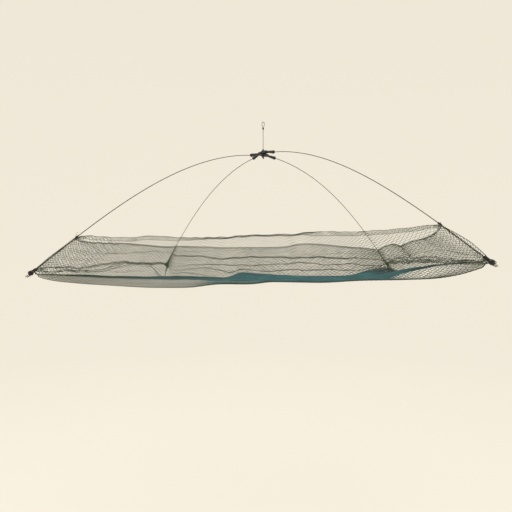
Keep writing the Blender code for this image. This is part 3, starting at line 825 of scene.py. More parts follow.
class Rib:
    """A spring rib's centre line, from the mouth of its socket to its tip."""

    MOST_BEND = 2.5
    HALVINGS = 50
    NEAR = 0.001  # the reach over which the line's direction is taken

    def __init__(self, corner: Corner) -> None:
        """Works out the rib's line.

        Args:
            corner: the corner that the rib ends at.
        """
        self.corner = corner
        level = TIP_LEVEL + corner.tip_rise
        self.tip = NET_CENTRE + np.array((corner.side_x * SIDE / 2, corner.side_y * SIDE / 2, level))
        self.heading = unit(self.tip * np.array((1.0, 1.0, 0.0)))
        droop = math.radians(corner.root_droop)
        self.mouth = self.heading * ARM + UP * (TIP_LEVEL + corner.mouth_rise)
        self.leaving = self.heading * math.cos(droop) - UP * math.sin(droop)
        chord = self.tip - self.mouth
        run, drop = chord @ self.heading, -chord[2]
        shape = self._shape(self._bend(math.atan2(drop, run) - droop))
        shape = shape * np.linalg.norm(chord) / np.hypot(*shape[-1])
        ahead = shape[:, :1] * math.cos(droop) - shape[:, 1:] * math.sin(droop)
        below = shape[:, :1] * math.sin(droop) + shape[:, 1:] * math.cos(droop)
        self.points = self.mouth + self.heading * ahead - UP * below
        back = self.points[::-1]
        self._back, self._lengths = back, lengths_along(back)

    @staticmethod
    def _shape(bend: float) -> np.ndarray:
        """The shape of a wire one unit long that leaves level and bends downwards.

        Args:
            bend: how far it has turned at its end, in radians.

        Returns:
            The run and the drop along it.
        """
        t = (np.arange(RIB_STEPS) + 0.5) / RIB_STEPS
        slope = bend * (2 * t - t * t)
        steps = np.stack([np.cos(slope), np.sin(slope)], axis=-1) / RIB_STEPS
        return np.concatenate([np.zeros((1, 2)), np.cumsum(steps, axis=0)])

    def _bend(self, angle: float) -> float:
        """The bend that gives the wire's chord this angle.

        Args:
            angle: how far the chord points down, in radians.

        Returns:
            The bend, in radians.
        """
        low, high = 0.0, self.MOST_BEND
        for _ in range(self.HALVINGS):
            middle = (low + high) / 2
            run, drop = self._shape(middle)[-1]
            low, high = (middle, high) if math.atan2(drop, run) < angle else (low, middle)
        return middle

    def before_tip(self, distance: np.ndarray | float) -> tuple[np.ndarray, np.ndarray]:
        """Points on the rib and the directions towards its tip.

        Args:
            distance: how far before the tip each point is.

        Returns:
            The points and the directions.
        """
        distance = np.asarray(distance, float)
        nearer = np.maximum(distance - self.NEAR, 0.0)
        return self._at(distance), unit(self._at(nearer) - self._at(nearer + 2 * self.NEAR))

    def _at(self, length: np.ndarray) -> np.ndarray:
        """The points at these lengths from the tip."""
        return np.stack([np.interp(length, self._lengths, axis) for axis in self._back.T], axis=-1)

    def spot(self, distance: float) -> Spot:
        """The place at this distance before the tip.

        Args:
            distance: the distance, in metres.

        Returns:
            The place.
        """
        point, ahead = self.before_tip(distance)
        side = unit(np.cross(ahead, UP))
        return Spot(point, ahead, side, np.cross(side, ahead))

    def stretch(self, start: float, finish: float, steps: int) -> np.ndarray:
        """The rib's line between two distances before its tip, in that many points."""
        return self.before_tip(np.linspace(start, finish, steps))[0]


RIBS = {corner.name: Rib(corner) for corner in CORNERS}


# ---------------------------------------------------------------- panels of netting


@dataclass(frozen=True)
class MeshSize:
    """The netting's own measure: how wide and high a diamond is, and how thick its twine."""

    width: float
    height: float
    twine: float

    @property
    def mitre(self) -> float:
        """How much wider a twine's section is across its zigzag."""
        return math.hypot(self.width, self.height) / self.width

    @property
    def cover(self) -> float:
        """The twine's own surface on one side of the netting, as a share of the netting's area."""
        return math.pi * self.twine * self.mitre / self.height


@dataclass
class Panel:
    """A panel of netting, from its own flat size to its hung shape."""

    FULLNESS: ClassVar[float] = 1.06  # a three-sided twine is made this much fuller, to look round
    NEAR: ClassVar[float] = 0.003  # the reach over which the panel's slope is taken

    name: str
    cells: MeshSize
    flat_width: float
    flat_height: float

    def place(self, along: np.ndarray, down: np.ndarray) -> np.ndarray:
        """The hung place of points on the flat panel, given as shares of its width and height."""
        raise NotImplementedError

    def knots(self, first: int, last: int) -> tuple[np.ndarray, np.ndarray]:
        """The zigzag of each twine on the flat panel.

        Args:
            first: the first twine's number from the top.
            last: the number after the last twine's.

        Returns:
            The places along and down, one row for each twine.
        """
        columns = round(self.flat_width / (self.cells.width / 2))
        number = np.arange(first, last)[:, None]
        column = np.arange(columns + 1)[None]
        step = (number + column) % 2
        along = np.broadcast_to(column / columns, step.shape)
        return along, (number + step) / self.rows

    @property
    def rows(self) -> int:
        """How many twines lie above each other."""
        return round(self.flat_height / (self.cells.height / 2))

    def normals(self, along: np.ndarray, down: np.ndarray) -> np.ndarray:
        """The direction square to the hung panel.

        Args:
            along: places along the panel.
            down: places down the panel.

        Returns:
            The direction at each place.
        """
        near = self.NEAR
        across = self.place(np.minimum(along + near, 1), down) - self.place(np.maximum(along - near, 0), down)
        drop = self.place(along, np.minimum(down + near, 1)) - self.place(along, np.maximum(down - near, 0))
        return unit(np.cross(across, drop))

    def declare(self, piece: bpy.types.Object, height: float, hung_on: Sequence[str]) -> None:
        """Does nothing: no piece is declared a sheet of this netting.

        Args:
            piece: the piece; not used.
            height: its flat height, in metres; not used.
            hung_on: the pieces that it hangs on; not used.
        """

    def netting(self, strands: Strands, first: int, last: int) -> None:
        """Adds twines to the strands.

        Args:
            strands: what they are added to.
            first: the first twine's number from the top.
            last: the number after the last twine's.
        """
        along, down = self.knots(first, last)
        radius = self.cells.twine / math.sqrt(3) * self.FULLNESS
        strands.add(
            self.place(along, down), radius, normals=self.normals(along, down), mitre=self.cells.mitre
        )


# ---------------------------------------------------------------- walls


@dataclass
class Wall(Panel):
    """A wall of the net: hung between two ribs, its top folded over, laced to the floor at its foot."""

    start: str = ""
    end: str = ""
    outward: tuple[int, int] = (0, -1)
    bulge: float = 0.0
    seam: tuple[Seam, ...] = ()
    hem: tuple[Hem, ...] = ()
    folds: tuple[Fold, ...] = ()
    gathers: tuple[Gather, ...] = ()
    turn: float = 0.0
    start_swell: float = 0.0
    end_swell: float = 0.0
    hem_height: float = 0.009
    hem_gap: float = 0.0016
    foot_room: float = 0.0009

    SLACK_OUT: ClassVar[float] = 0.4  # how far a slack edge swells outwards, as a share of its swell along
    RIPPLE: ClassVar[float] = 0.0012
    EVENNESS: ClassVar[tuple[float, float]] = (0.82, 0.18)  # how tight a gather is, and how far that varies
    EVEN_WAVES: ClassVar[float] = 9.3
    WOBBLES: ClassVar[tuple[float, float]] = (0.012, 0.010)  # how far a gather strays up and down
    WOBBLE_WAVES: ClassVar[tuple[float, float]] = (5.3, 12.1)
    TURN_WAVES: ClassVar[float] = 6.7
    DEPTH_WAVES: ClassVar[float] = 8.3
    FOLD_REACH: ClassVar[float] = 0.002  # how soon the hem's fold is at its full gap
    ROLLED_IN: ClassVar[float] = 0.7  # how much of the folded hem a tight roll takes up
    SWAY: ClassVar[float] = 0.0022
    SIDE_ROOM: ClassVar[float] = 0.0012
    FRILL: ClassVar[float] = 0.0015
    FRILL_RISE: ClassVar[float] = 0.8  # how far the frill stands up, as a share of how far it stands out
    FRILL_WAVES: ClassVar[float] = 21.3
    FRILL_REACH: ClassVar[float] = 0.006
    FRILL_FREE: ClassVar[float] = 0.03  # how far from a corner the frill is at its full height
    BUNCHED: ClassVar[float] = 0.62  # how much of the cloth by a rib is bunched up against it
    BUNCH_REACH: ClassVar[float] = 0.022
    FOLD_TWINE: ClassVar[float] = 0.00045
    SIDE_TWINE: ClassVar[float] = 0.0006
    EDGE_STEPS: ClassVar[tuple[int, int]] = (361, 81)  # along the hem, and down a side

    @property
    def out(self) -> np.ndarray:
        """The direction away from the net's middle."""
        return np.array((*self.outward, 0.0), float)

    def seam_point(self, along: np.ndarray) -> np.ndarray:
        """Points on the seam with the floor.

        Args:
            along: places along the wall.

        Returns:
            The points.
        """
        along = np.asarray(along, float)
        point = mix(RIBS[self.start].tip, RIBS[self.end].tip, along)
        point = point - self.out * smooth_value(self.seam, "drawn_in", along)[..., None]
        point[..., 2] = TIP_LEVEL + smooth_value(self.seam, "rise", along)
        return point

    def side_edge(self, corner_name: str, down: np.ndarray) -> np.ndarray:
        """Points on the wall's edge beside a rib; a slack edge swells past it.

        Args:
            corner_name: the rib's corner.
            down: places from the tie, 0, down to the tip, 1.

        Returns:
            The points.
        """
        rib = RIBS[corner_name]
        down = np.asarray(down, float)
        point, _ = rib.before_tip(rib.corner.tie_back * (1 - down))
        along_wall = unit((RIBS[self.end].tip - RIBS[self.start].tip) * np.array((1.0, 1.0, 0.0)))
        at_start = corner_name == self.start
        slack = (np.sin(math.pi * down) * (self.start_swell if at_start else self.end_swell))[..., None]
        inwards = along_wall if at_start else -along_wall
        return point + inwards * (RIB_CLEARANCE - slack) + self.out * slack * self.SLACK_OUT

    def hem_point(self, along: np.ndarray) -> np.ndarray:
        """Points on the wall's top edge.

        Args:
            along: places along the wall.

        Returns:
            The points.
        """
        along = np.asarray(along, float)
        point = mix(self.side_edge(self.start, 0.0), self.side_edge(self.end, 0.0), along)
        point = point + self.out * smooth_value(self.hem, "wave", along)[..., None]
        point[..., 2] -= smooth_value(self.hem, "sag", along)
        return point

    def surface(self, along: np.ndarray, down: np.ndarray) -> np.ndarray:
        """Points on the wall's main shape, blended between its hem, its seam and its two ribs.

        Args:
            along: places along the wall.
            down: places from the hem's fold, 0, down to the seam, 1.

        Returns:
            The points.
        """
        high = mix(self.side_edge(self.start, 0.0), self.side_edge(self.end, 0.0), along)
        low = mix(self.side_edge(self.start, 1.0), self.side_edge(self.end, 1.0), along)
        sides = mix(self.side_edge(self.start, down), self.side_edge(self.end, down), along)
        point = mix(self.hem_point(along), self.seam_point(along), down) + sides - mix(high, low, down)
        inside = np.clip(np.sin(math.pi * down), 0, 1)
        swell = self.bulge * np.sin(math.pi * along) * inside
        fold = fold_height(self.folds, along, down) * np.sqrt(inside)
        wave = ripple(along, down, self.RIPPLE, self.turn) * inside
        return point + self.out * (swell + fold + wave)[..., None]

    def gathered(self, along: np.ndarray, cloth: np.ndarray) -> tuple[np.ndarray, np.ndarray]:
        """Where the gathered creases take the cloth.

        Args:
            along: places along the wall.
            cloth: lengths of cloth below the hem's fold, in metres.

        Returns:
            The share of the wall's height at each place, and how far the cloth lifts off the main shape.
        """
        levels, taken = [], []
        for number, gather in enumerate(self.gathers):
            varied = np.sin(math.tau * (self.EVEN_WAVES * along + 0.37 * number) + 2.2 * np.sin(31 * along))
            uneven = self.EVENNESS[0] + self.EVENNESS[1] * varied
            taken.append(gather.cloth * smooth_value(gather.course, "tight", along) * uneven)
            wobble = self.WOBBLES[0] * across_wave(along, self.WOBBLE_WAVES[0], 1.7 * number + self.turn)
            wobble = wobble + self.WOBBLES[1] * across_wave(along, self.WOBBLE_WAVES[1], 0.9 * number)
            levels.append(smooth_value(gather.course, "level", along) + wobble)
        free = self.flat_height - sum(taken)
        share, lift, used = cloth.copy(), np.zeros_like(cloth), np.zeros_like(cloth)
        for number, (gather, level, amount) in enumerate(zip(self.gathers, levels, taken)):
            start = np.maximum(level * free - gather.band / 2, 0.0) + used
            t = np.clip((cloth - start) / (amount + gather.band), 0, 1)
            share = share - amount * t
            full = amount / gather.cloth
            turn = math.tau * gather.turns * t + 1.3 * across_wave(along, self.TURN_WAVES, number)
            share = share + full * 0.5 * gather.band * np.sin(turn) * np.sin(math.pi * t)
            deeper = 1 + 0.3 * across_wave(along, self.DEPTH_WAVES)
            lift = lift + full * gather.depth * np.sin(math.tau * t) * deeper
            used = used + amount
        return share / free, lift

    def place(self, along: np.ndarray, down: np.ndarray) -> np.ndarray:
        """The hung place of the netting.

        Args:
            along: places along the wall.
            down: places from the free edge of the folded hem, 0, to the foot, 1.

        Returns:
            The points.
        """
        along, down = np.broadcast_arrays(np.asarray(along, float), np.asarray(down, float))
        cloth = down * (self.flat_height + self.hem_height) - self.hem_height
        roll = smooth_value(self.hem, "roll", along)
        inner = cloth < 0
        below = np.abs(cloth) * (1 - self.ROLLED_IN * roll) * HEM_LEVEL_PER_METRE
        share, lift = self.gathered(along, np.maximum(cloth, 0.0))
        share = np.where(inner, below, share)
        lift = np.where(inner, -self.hem_gap * np.clip(-cloth / self.FOLD_REACH, 0, 1), lift)
        to_corner = np.minimum(along, 1 - along) * SIDE
        pulled = CORNER_LIFT * np.maximum(0.0, 1 - to_corner / CORNER_REACH) ** 2
        margin = self.foot_room / HEM_SEAM_HEIGHT
        level = np.clip(share, 0, 1) * (1 - margin - pulled)
        sway = self.SWAY * np.sin(math.tau * (1.7 * along + 0.8 * down) + self.turn)
        sway = sway * np.sin(math.pi * along)
        inside = self.SIDE_ROOM + along * (1 - 2 * self.SIDE_ROOM)
        point = self.surface(self.drawn_to_ribs(inside) + sway, level)
        frill = self.FRILL * across_wave(along, self.FRILL_WAVES, 3 * np.sin(17 * along) + self.turn)
        near_hem = np.exp(-np.maximum(cloth, 0.0) / self.FRILL_REACH)
        frill = frill * near_hem * (0.4 + 0.6 * roll) * np.clip(to_corner / self.FRILL_FREE, 0, 1)
        point[..., 2] += frill * self.FRILL_RISE
        point = point + self.out * (lift + frill)[..., None]
        return kept_off_fittings(point)

    @classmethod
    def drawn_to_ribs(cls, along: np.ndarray) -> np.ndarray:
        """Bunches the wall's sides up against the ribs.

        Args:
            along: places along the wall.

        Returns:
            The places once they are bunched.
        """
        near = np.minimum(along, 1 - along)
        bunched = near * (1 - cls.BUNCHED * np.exp(-near / cls.BUNCH_REACH))
        return np.where(along < 0.5, bunched, 1 - bunched)

    @property
    def rows(self) -> int:
        """How many twines lie above each other, with those of the folded hem."""
        return round((self.flat_height + self.hem_height) / (self.cells.height / 2))

    def edge_cords(self, strands: Strands) -> None:
        """Adds the doubled twine along the hem's stitched edge and the wall's two sides.

        Args:
            strands: what it is added to.
        """
        steps = np.linspace(0, 1, self.EDGE_STEPS[0])
        strands.add(self.place(steps, np.full_like(steps, 0.001)), self.FOLD_TWINE, DOUBLED_TWINE)
        drop = np.linspace(self.hem_height / (self.flat_height + self.hem_height), 1, self.EDGE_STEPS[1])
        for side in (0.0, 1.0):
            strands.add(self.place(np.full_like(drop, side), drop), self.SIDE_TWINE, DOUBLED_TWINE)

    def build(self) -> bpy.types.Object:
        """Makes the wall as one piece: all its netting with its edges.

        Returns:
            The piece.
        """
        strands = Strands()
        self.netting(strands, 0, self.rows)
        self.edge_cords(strands)
        name = f"wall_netting_{self.name}"
        piece = strands.piece(name, Finish.WALL_TWINE, "wall_netting", f"wall_{self.name}")
        hung_on = (f"hem_wrap_{self.start}", f"hem_wrap_{self.end}")
        self.declare(piece, self.flat_height + self.hem_height, hung_on)
        return piece


def from_axis(point: np.ndarray, centre: np.ndarray, ahead: np.ndarray) -> tuple[np.ndarray, ...]:
    """Where points lie from an axis.

    Args:
        point: the points.
        centre: a point on the axis.
        ahead: the axis's direction.

    Returns:
        How far along the axis each point is, its offset from it, and that offset's length.
    """
    offset = point - centre
    ahead_by = offset @ ahead
    aside = offset - ahead * ahead_by[..., None]
    return ahead_by, aside, np.linalg.norm(aside, axis=-1)


def kept_off_fittings(point: np.ndarray) -> np.ndarray:
    """Bunches netting behind a rib's cap, and moves it off the tie's wrapping.

    Args:
        point: points on the netting.

    Returns:
        The points, those by a cap moved back along the rib, those by a tie moved straight outwards.
    """
    point = point.copy()
    for rib in RIBS.values():
        ahead = rib.before_tip(0.0)[1]
        ahead_by, _, length = from_axis(point, *rib.before_tip(0.0))
        bunched = np.clip((2 * BUNCH_RADIUS - length) / BUNCH_RADIUS, 0, 1)
        too_far = np.maximum(ahead_by + CAP_BEFORE + WRAP_ROOM, 0) * bunched
        point = point - ahead * too_far[..., None]

        ahead_by, aside, length = from_axis(point, *rib.before_tip(rib.corner.tie_back))
        radius = TIE_RADIUS + WRAP_ROOM
        near = (np.abs(ahead_by) < TIE_REACH) & (length < radius)
        push = aside / np.maximum(length, 1e-9)[..., None] * (radius - length)[..., None]
        point = np.where(near[..., None], point + push, point)
    return point


FRONT_CELLS = MeshSize(width=1 / 98, height=0.0074, twine=0.00073)
SIDE_CELLS = MeshSize(width=1 / 82, height=0.0076, twine=0.00062)
BACK_CELLS = MeshSize(width=1 / 98, height=0.0074, twine=0.00080)
FLOOR_CELLS = MeshSize(width=1 / 90, height=0.0060, twine=0.00060)


def table(kind: type, *values: tuple[float, ...]) -> tuple:
    """The rows of a table, all of one class, from the numbers of each."""
    return tuple(kind(*numbers) for numbers in values)


def gather(cloth: float, band: float, depth: float, course: Sequence[tuple], turns: int = 2) -> Gather:
    """A gathered crease from plain numbers, with a row for each place on its course."""
    return Gather(table(Crease, *course), cloth, band, depth, turns)


def front_wall() -> Wall:
    """The front wall, drawn in at its foot, with its hem rolled in two places.

    Returns:
        The wall.
    """
    return Wall(
        "front", FRONT_CELLS, SIDE, flat_height=0.142, start="front_left", end="front_right",
        outward=(0, -1), bulge=0.006, turn=0.3, start_swell=0.005, end_swell=0.012, hem_height=0.013,
        seam=table(
            Seam,
            (0.0, 0.0, -0.025), (0.04, 0.008, -0.038), (0.09, 0.018, -0.045), (0.17, 0.03, -0.051),
            (0.28, 0.04, -0.056), (0.36, 0.044, -0.055), (0.42, 0.046, -0.048), (0.5, 0.046, -0.047),
            (0.55, 0.045, -0.042), (0.65, 0.044, -0.043), (0.74, 0.038, -0.038), (0.84, 0.028, -0.035),
            (0.9, 0.018, -0.031), (0.94, 0.01, -0.023), (0.97, 0.005, -0.013), (1.0, 0.0, -0.001),
        ),
        hem=table(
            Hem,
            (0.0, 0.0, 0.0, 0.4), (0.013, -0.0035, 0.0005, 0.2), (0.032, -0.004, 0.001, 0.1),
            (0.067, -0.001, 0.001, 0.1), (0.097, 0.0015, 0.001, 0.1), (0.127, 0.0033, 0.001, 0.1),
            (0.162, 0.0038, 0.001, 0.1), (0.208, 0.0018, 0.002, 0.1), (0.243, 0.003, 0.002, 0.1),
            (0.278, 0.0064, 0.001, 0.2), (0.3, 0.0085, 0.001, 0.4), (0.345, 0.0098, 0.0, 0.6),
            (0.391, 0.011, 0.0, 0.8), (0.441, 0.011, -0.001, 0.9), (0.469, 0.0096, -0.001, 0.9),
            (0.52, 0.0095, 0.0, 0.9), (0.58, 0.0098, 0.001, 0.9), (0.634, 0.0092, 0.002, 0.8),
            (0.661, 0.0068, 0.001, 0.2), (0.7, 0.0062, 0.001, 0.0), (0.769, 0.0088, -0.001, 0.0),
            (0.833, 0.0078, -0.001, 0.0), (0.905, 0.0053, 0.0, 0.1), (0.958, 0.0017, 0.0, 0.2),
            (1.0, 0.0, 0.0, 0.5),
        ),
        folds=table(
            Fold,
            (0.05, 0.7, 0.3, 0.8, 0.05, 0.004), (0.2, 0.45, 0.6, 0.5, 0.06, -0.003),
            (0.55, 0.75, 0.95, 0.6, 0.05, 0.003),
        ),
        gathers=(
            gather(
                cloth=0.03, band=0.003, depth=0.0015, course=(
                    (0.0, 0.02, 0.8), (0.06, 0.02, 0.1), (0.34, 0.02, 0.1), (0.42, 0.02, 0.9),
                    (0.62, 0.02, 0.9), (0.7, 0.02, 0.1), (0.95, 0.02, 0.0), (1.0, 0.02, 0.8),
                ),
            ),
        ),
    )


def right_wall() -> Wall:
    """The right wall, bunched low down towards the front rib.

    Returns:
        The wall.
    """
    return Wall(
        "right", SIDE_CELLS, SIDE, flat_height=0.178, start="front_right", end="back_right", outward=(1, 0),
        bulge=0.012, turn=2.1,
        seam=table(
            Seam,
            (0.0, 0.0, -0.001), (0.12, 0.006, 0.001), (0.2, 0.009, -0.001), (0.28, 0.011, -0.004),
            (0.35, 0.013, -0.006), (0.42, 0.014, -0.011), (0.51, 0.014, -0.02), (0.61, 0.014, -0.027),
            (0.74, 0.012, -0.031), (0.86, 0.007, -0.028), (0.94, 0.003, -0.021), (1.0, 0.0, -0.013),
        ),
        hem=table(
            Hem,
            (0.0, 0.0, 0.0, 0.7), (0.023, 0.0095, 0.0, 0.6), (0.053, 0.015, 0.001, 0.5),
            (0.095, 0.0166, 0.002, 0.5), (0.14, 0.0172, 0.003, 0.6), (0.21, 0.0166, 0.004, 0.7),
            (0.319, 0.015, 0.0, 0.7), (0.4, 0.0172, -0.002, 0.8), (0.487, 0.0165, 0.002, 1.0),
            (0.543, 0.0091, 0.003, 1.0), (0.645, 0.0001, 0.001, 0.8), (0.743, -0.0013, -0.001, 0.8),
            (0.84, 0.0002, -0.003, 0.8), (0.933, 0.0013, -0.001, 0.7), (1.0, 0.0, 0.0, 0.6),
        ),
        folds=table(
            Fold,
            (0.0, 0.1, 0.45, 0.55, 0.07, 0.006), (0.5, 0.35, 0.95, 0.6, 0.07, 0.005),
            (0.85, 0.1, 0.95, 0.7, 0.06, -0.004),
        ),
        gathers=(
            gather(
                cloth=0.02, band=0.004, depth=0.002, course=(
                    (0.0, 0.03, 0.9), (0.2, 0.03, 0.9), (0.5, 0.03, 1.0), (1.0, 0.03, 0.8),
                ),
            ),
            gather(
                cloth=0.014, band=0.003, depth=0.003, course=(
                    (0.0, 0.88, 0.0), (0.02, 0.83, 0.4), (0.053, 0.77, 0.5), (0.085, 0.69, 0.6),
                    (0.158, 0.53, 0.6), (0.3, 0.44, 0.6), (0.383, 0.44, 0.6), (0.488, 0.42, 0.7),
                    (0.697, 0.45, 0.9), (0.822, 0.39, 1.0), (0.91, 0.17, 1.0), (0.96, 0.11, 1.0),
                    (1.0, 0.1, 0.6),
                ),
            ),
            gather(
                cloth=0.034, band=0.006, depth=0.005, turns=3, course=(
                    (0.0, 0.975, 1.0), (0.033, 0.965, 0.5), (0.09, 0.94, 0.3), (0.163, 0.9, 0.4),
                    (0.252, 0.76, 0.8), (0.373, 0.64, 1.0), (0.56, 0.53, 1.0), (0.8, 0.52, 0.8),
                    (0.95, 0.62, 0.8), (1.0, 0.8, 0.8),
                ),
            ),
            gather(
                cloth=0.06, band=0.012, depth=0.006, turns=4, course=(
                    (0.0, 0.985, 1.0), (0.052, 0.98, 0.9), (0.13, 0.975, 0.9), (0.22, 0.94, 0.9),
                    (0.333, 0.85, 1.0), (0.483, 0.71, 1.0), (0.695, 0.66, 1.0), (0.878, 0.67, 1.0),
                    (1.0, 0.9, 1.0),
                ),
            ),
        ),
    )


def back_wall() -> Wall:
    """The back wall, which hangs in long gathers stacked above each other.

    Returns:
        The wall.
    """
    return Wall(
        "back", BACK_CELLS, SIDE, flat_height=0.31, start="back_left", end="back_right", outward=(0, 1),
        bulge=0.005, turn=4.0,
        seam=table(
            Seam,
            (0.0, 0.0, -0.009), (0.02, 0.004, -0.048), (0.06, 0.009, -0.059), (0.11, 0.016, -0.062),
            (0.17, 0.024, -0.062), (0.22, 0.03, -0.063), (0.28, 0.034, -0.065), (0.32, 0.036, -0.055),
            (0.36, 0.038, -0.042), (0.43, 0.04, -0.047), (0.53, 0.04, -0.053), (0.65, 0.038, -0.057),
            (0.77, 0.03, -0.057), (0.84, 0.022, -0.052), (0.91, 0.014, -0.033), (0.96, 0.006, -0.02),
            (1.0, 0.0, -0.013),
        ),
        hem=table(
            Hem,
            (0.0, 0.0, 0.0, 0.5), (0.064, -0.0008, 0.001, 0.3), (0.146, -0.0003, 0.003, 0.2),
            (0.234, 0.0015, 0.003, 0.3), (0.321, 0.0002, 0.002, 0.4), (0.402, -0.001, 0.0, 0.5),
            (0.487, -0.0034, -0.001, 0.4), (0.55, -0.0062, -0.002, 0.3), (0.587, -0.0137, -0.002, 0.3),
            (0.612, -0.0185, -0.002, 0.3), (0.651, -0.0216, -0.002, 0.3), (0.721, -0.0209, -0.001, 0.3),
            (0.77, -0.0178, 0.0, 0.3), (0.819, -0.0142, 0.0, 0.3), (0.897, -0.009, 0.0, 0.3),
            (0.946, -0.0068, 0.0, 0.3), (0.985, -0.003, 0.0, 0.4), (1.0, 0.0, 0.0, 0.5),
        ),
        folds=table(
            Fold,
            (0.02, 0.35, 0.98, 0.37, 0.06, 0.006), (0.15, 0.6, 0.85, 0.62, 0.05, -0.004),
            (0.2, 0.82, 0.75, 0.8, 0.05, 0.004),
        ),
        gathers=(
            gather(
                cloth=0.01, band=0.003, depth=0.003, course=(
                    (0.0, 0.25, 0.3), (0.023, 0.23, 0.5), (0.073, 0.18, 0.8), (0.152, 0.17, 0.8),
                    (0.197, 0.12, 0.8), (0.252, 0.1, 0.6), (0.302, 0.11, 0.5), (0.387, 0.09, 0.6),
                    (0.452, 0.09, 0.6), (0.552, 0.11, 0.3), (0.575, 0.2, 0.1), (0.6, 0.3, 0.5),
                    (0.647, 0.34, 0.8), (0.727, 0.33, 0.8), (0.775, 0.31, 0.7), (0.833, 0.25, 0.5),
                    (0.872, 0.26, 0.5), (0.917, 0.29, 0.3), (1.0, 0.3, 0.0),
                ),
            ),
            gather(
                cloth=0.066, band=0.0075, depth=0.006, turns=4, course=(
                    (0.0, 0.44, 0.7), (0.03, 0.36, 0.6), (0.047, 0.33, 0.6), (0.095, 0.32, 0.6),
                    (0.16, 0.35, 0.7), (0.23, 0.39, 0.8), (0.277, 0.36, 0.8), (0.36, 0.42, 0.9),
                    (0.407, 0.37, 1.0), (0.455, 0.37, 1.0), (0.527, 0.38, 1.0), (0.583, 0.42, 1.0),
                    (0.688, 0.43, 1.0), (0.762, 0.43, 1.0), (0.842, 0.42, 0.9), (0.915, 0.5, 0.8),
                    (0.978, 0.65, 0.8), (1.0, 0.75, 0.7),
                ),
            ),
            gather(
                cloth=0.01, band=0.003, depth=0.003, course=(
                    (0.0, 0.66, 0.0), (0.042, 0.6, 0.5), (0.092, 0.47, 0.7), (0.165, 0.47, 0.6),
                    (0.232, 0.46, 0.3), (0.3, 0.5, 0.0), (0.4, 0.52, 0.0), (0.6, 0.52, 0.0),
                    (0.9, 0.62, 0.0), (1.0, 0.85, 0.0),
                ),
            ),
            gather(
                cloth=0.044, band=0.0045, depth=0.004, course=(
                    (0.0, 0.8, 0.0), (0.1, 0.62, 0.3), (0.172, 0.59, 0.8), (0.243, 0.59, 0.9),
                    (0.317, 0.63, 0.9), (0.39, 0.73, 0.7), (0.482, 0.64, 0.8), (0.573, 0.6, 0.9),
                    (0.665, 0.61, 1.0), (0.757, 0.65, 1.0), (0.848, 0.62, 0.9), (0.908, 0.76, 0.8),
                    (0.965, 0.93, 0.5), (1.0, 0.95, 0.0),
                ),
            ),
            gather(
                cloth=0.044, band=0.0045, depth=0.004, course=(
                    (0.0, 0.9, 0.0), (0.1, 0.75, 0.4), (0.177, 0.72, 0.8), (0.25, 0.77, 0.9),
                    (0.323, 0.87, 0.9), (0.393, 0.9, 0.8), (0.483, 0.88, 0.8), (0.573, 0.82, 0.9),
                    (0.662, 0.82, 1.0), (0.752, 0.81, 1.0), (0.84, 0.84, 0.9), (0.902, 0.93, 0.6),
                    (1.0, 0.97, 0.0),
                ),
            ),
            gather(
                cloth=0.022, band=0.004, depth=0.003, course=(
                    (0.0, 0.99, 1.0), (0.012, 0.98, 1.0), (0.03, 0.95, 1.0), (0.048, 0.92, 1.0),
                    (0.088, 0.88, 1.0), (0.122, 0.91, 0.9), (0.162, 0.94, 0.8), (0.19, 0.97, 0.5),
                    (0.22, 0.99, 0.0), (1.0, 0.995, 0.0),
                ),
            ),
        ),
    )


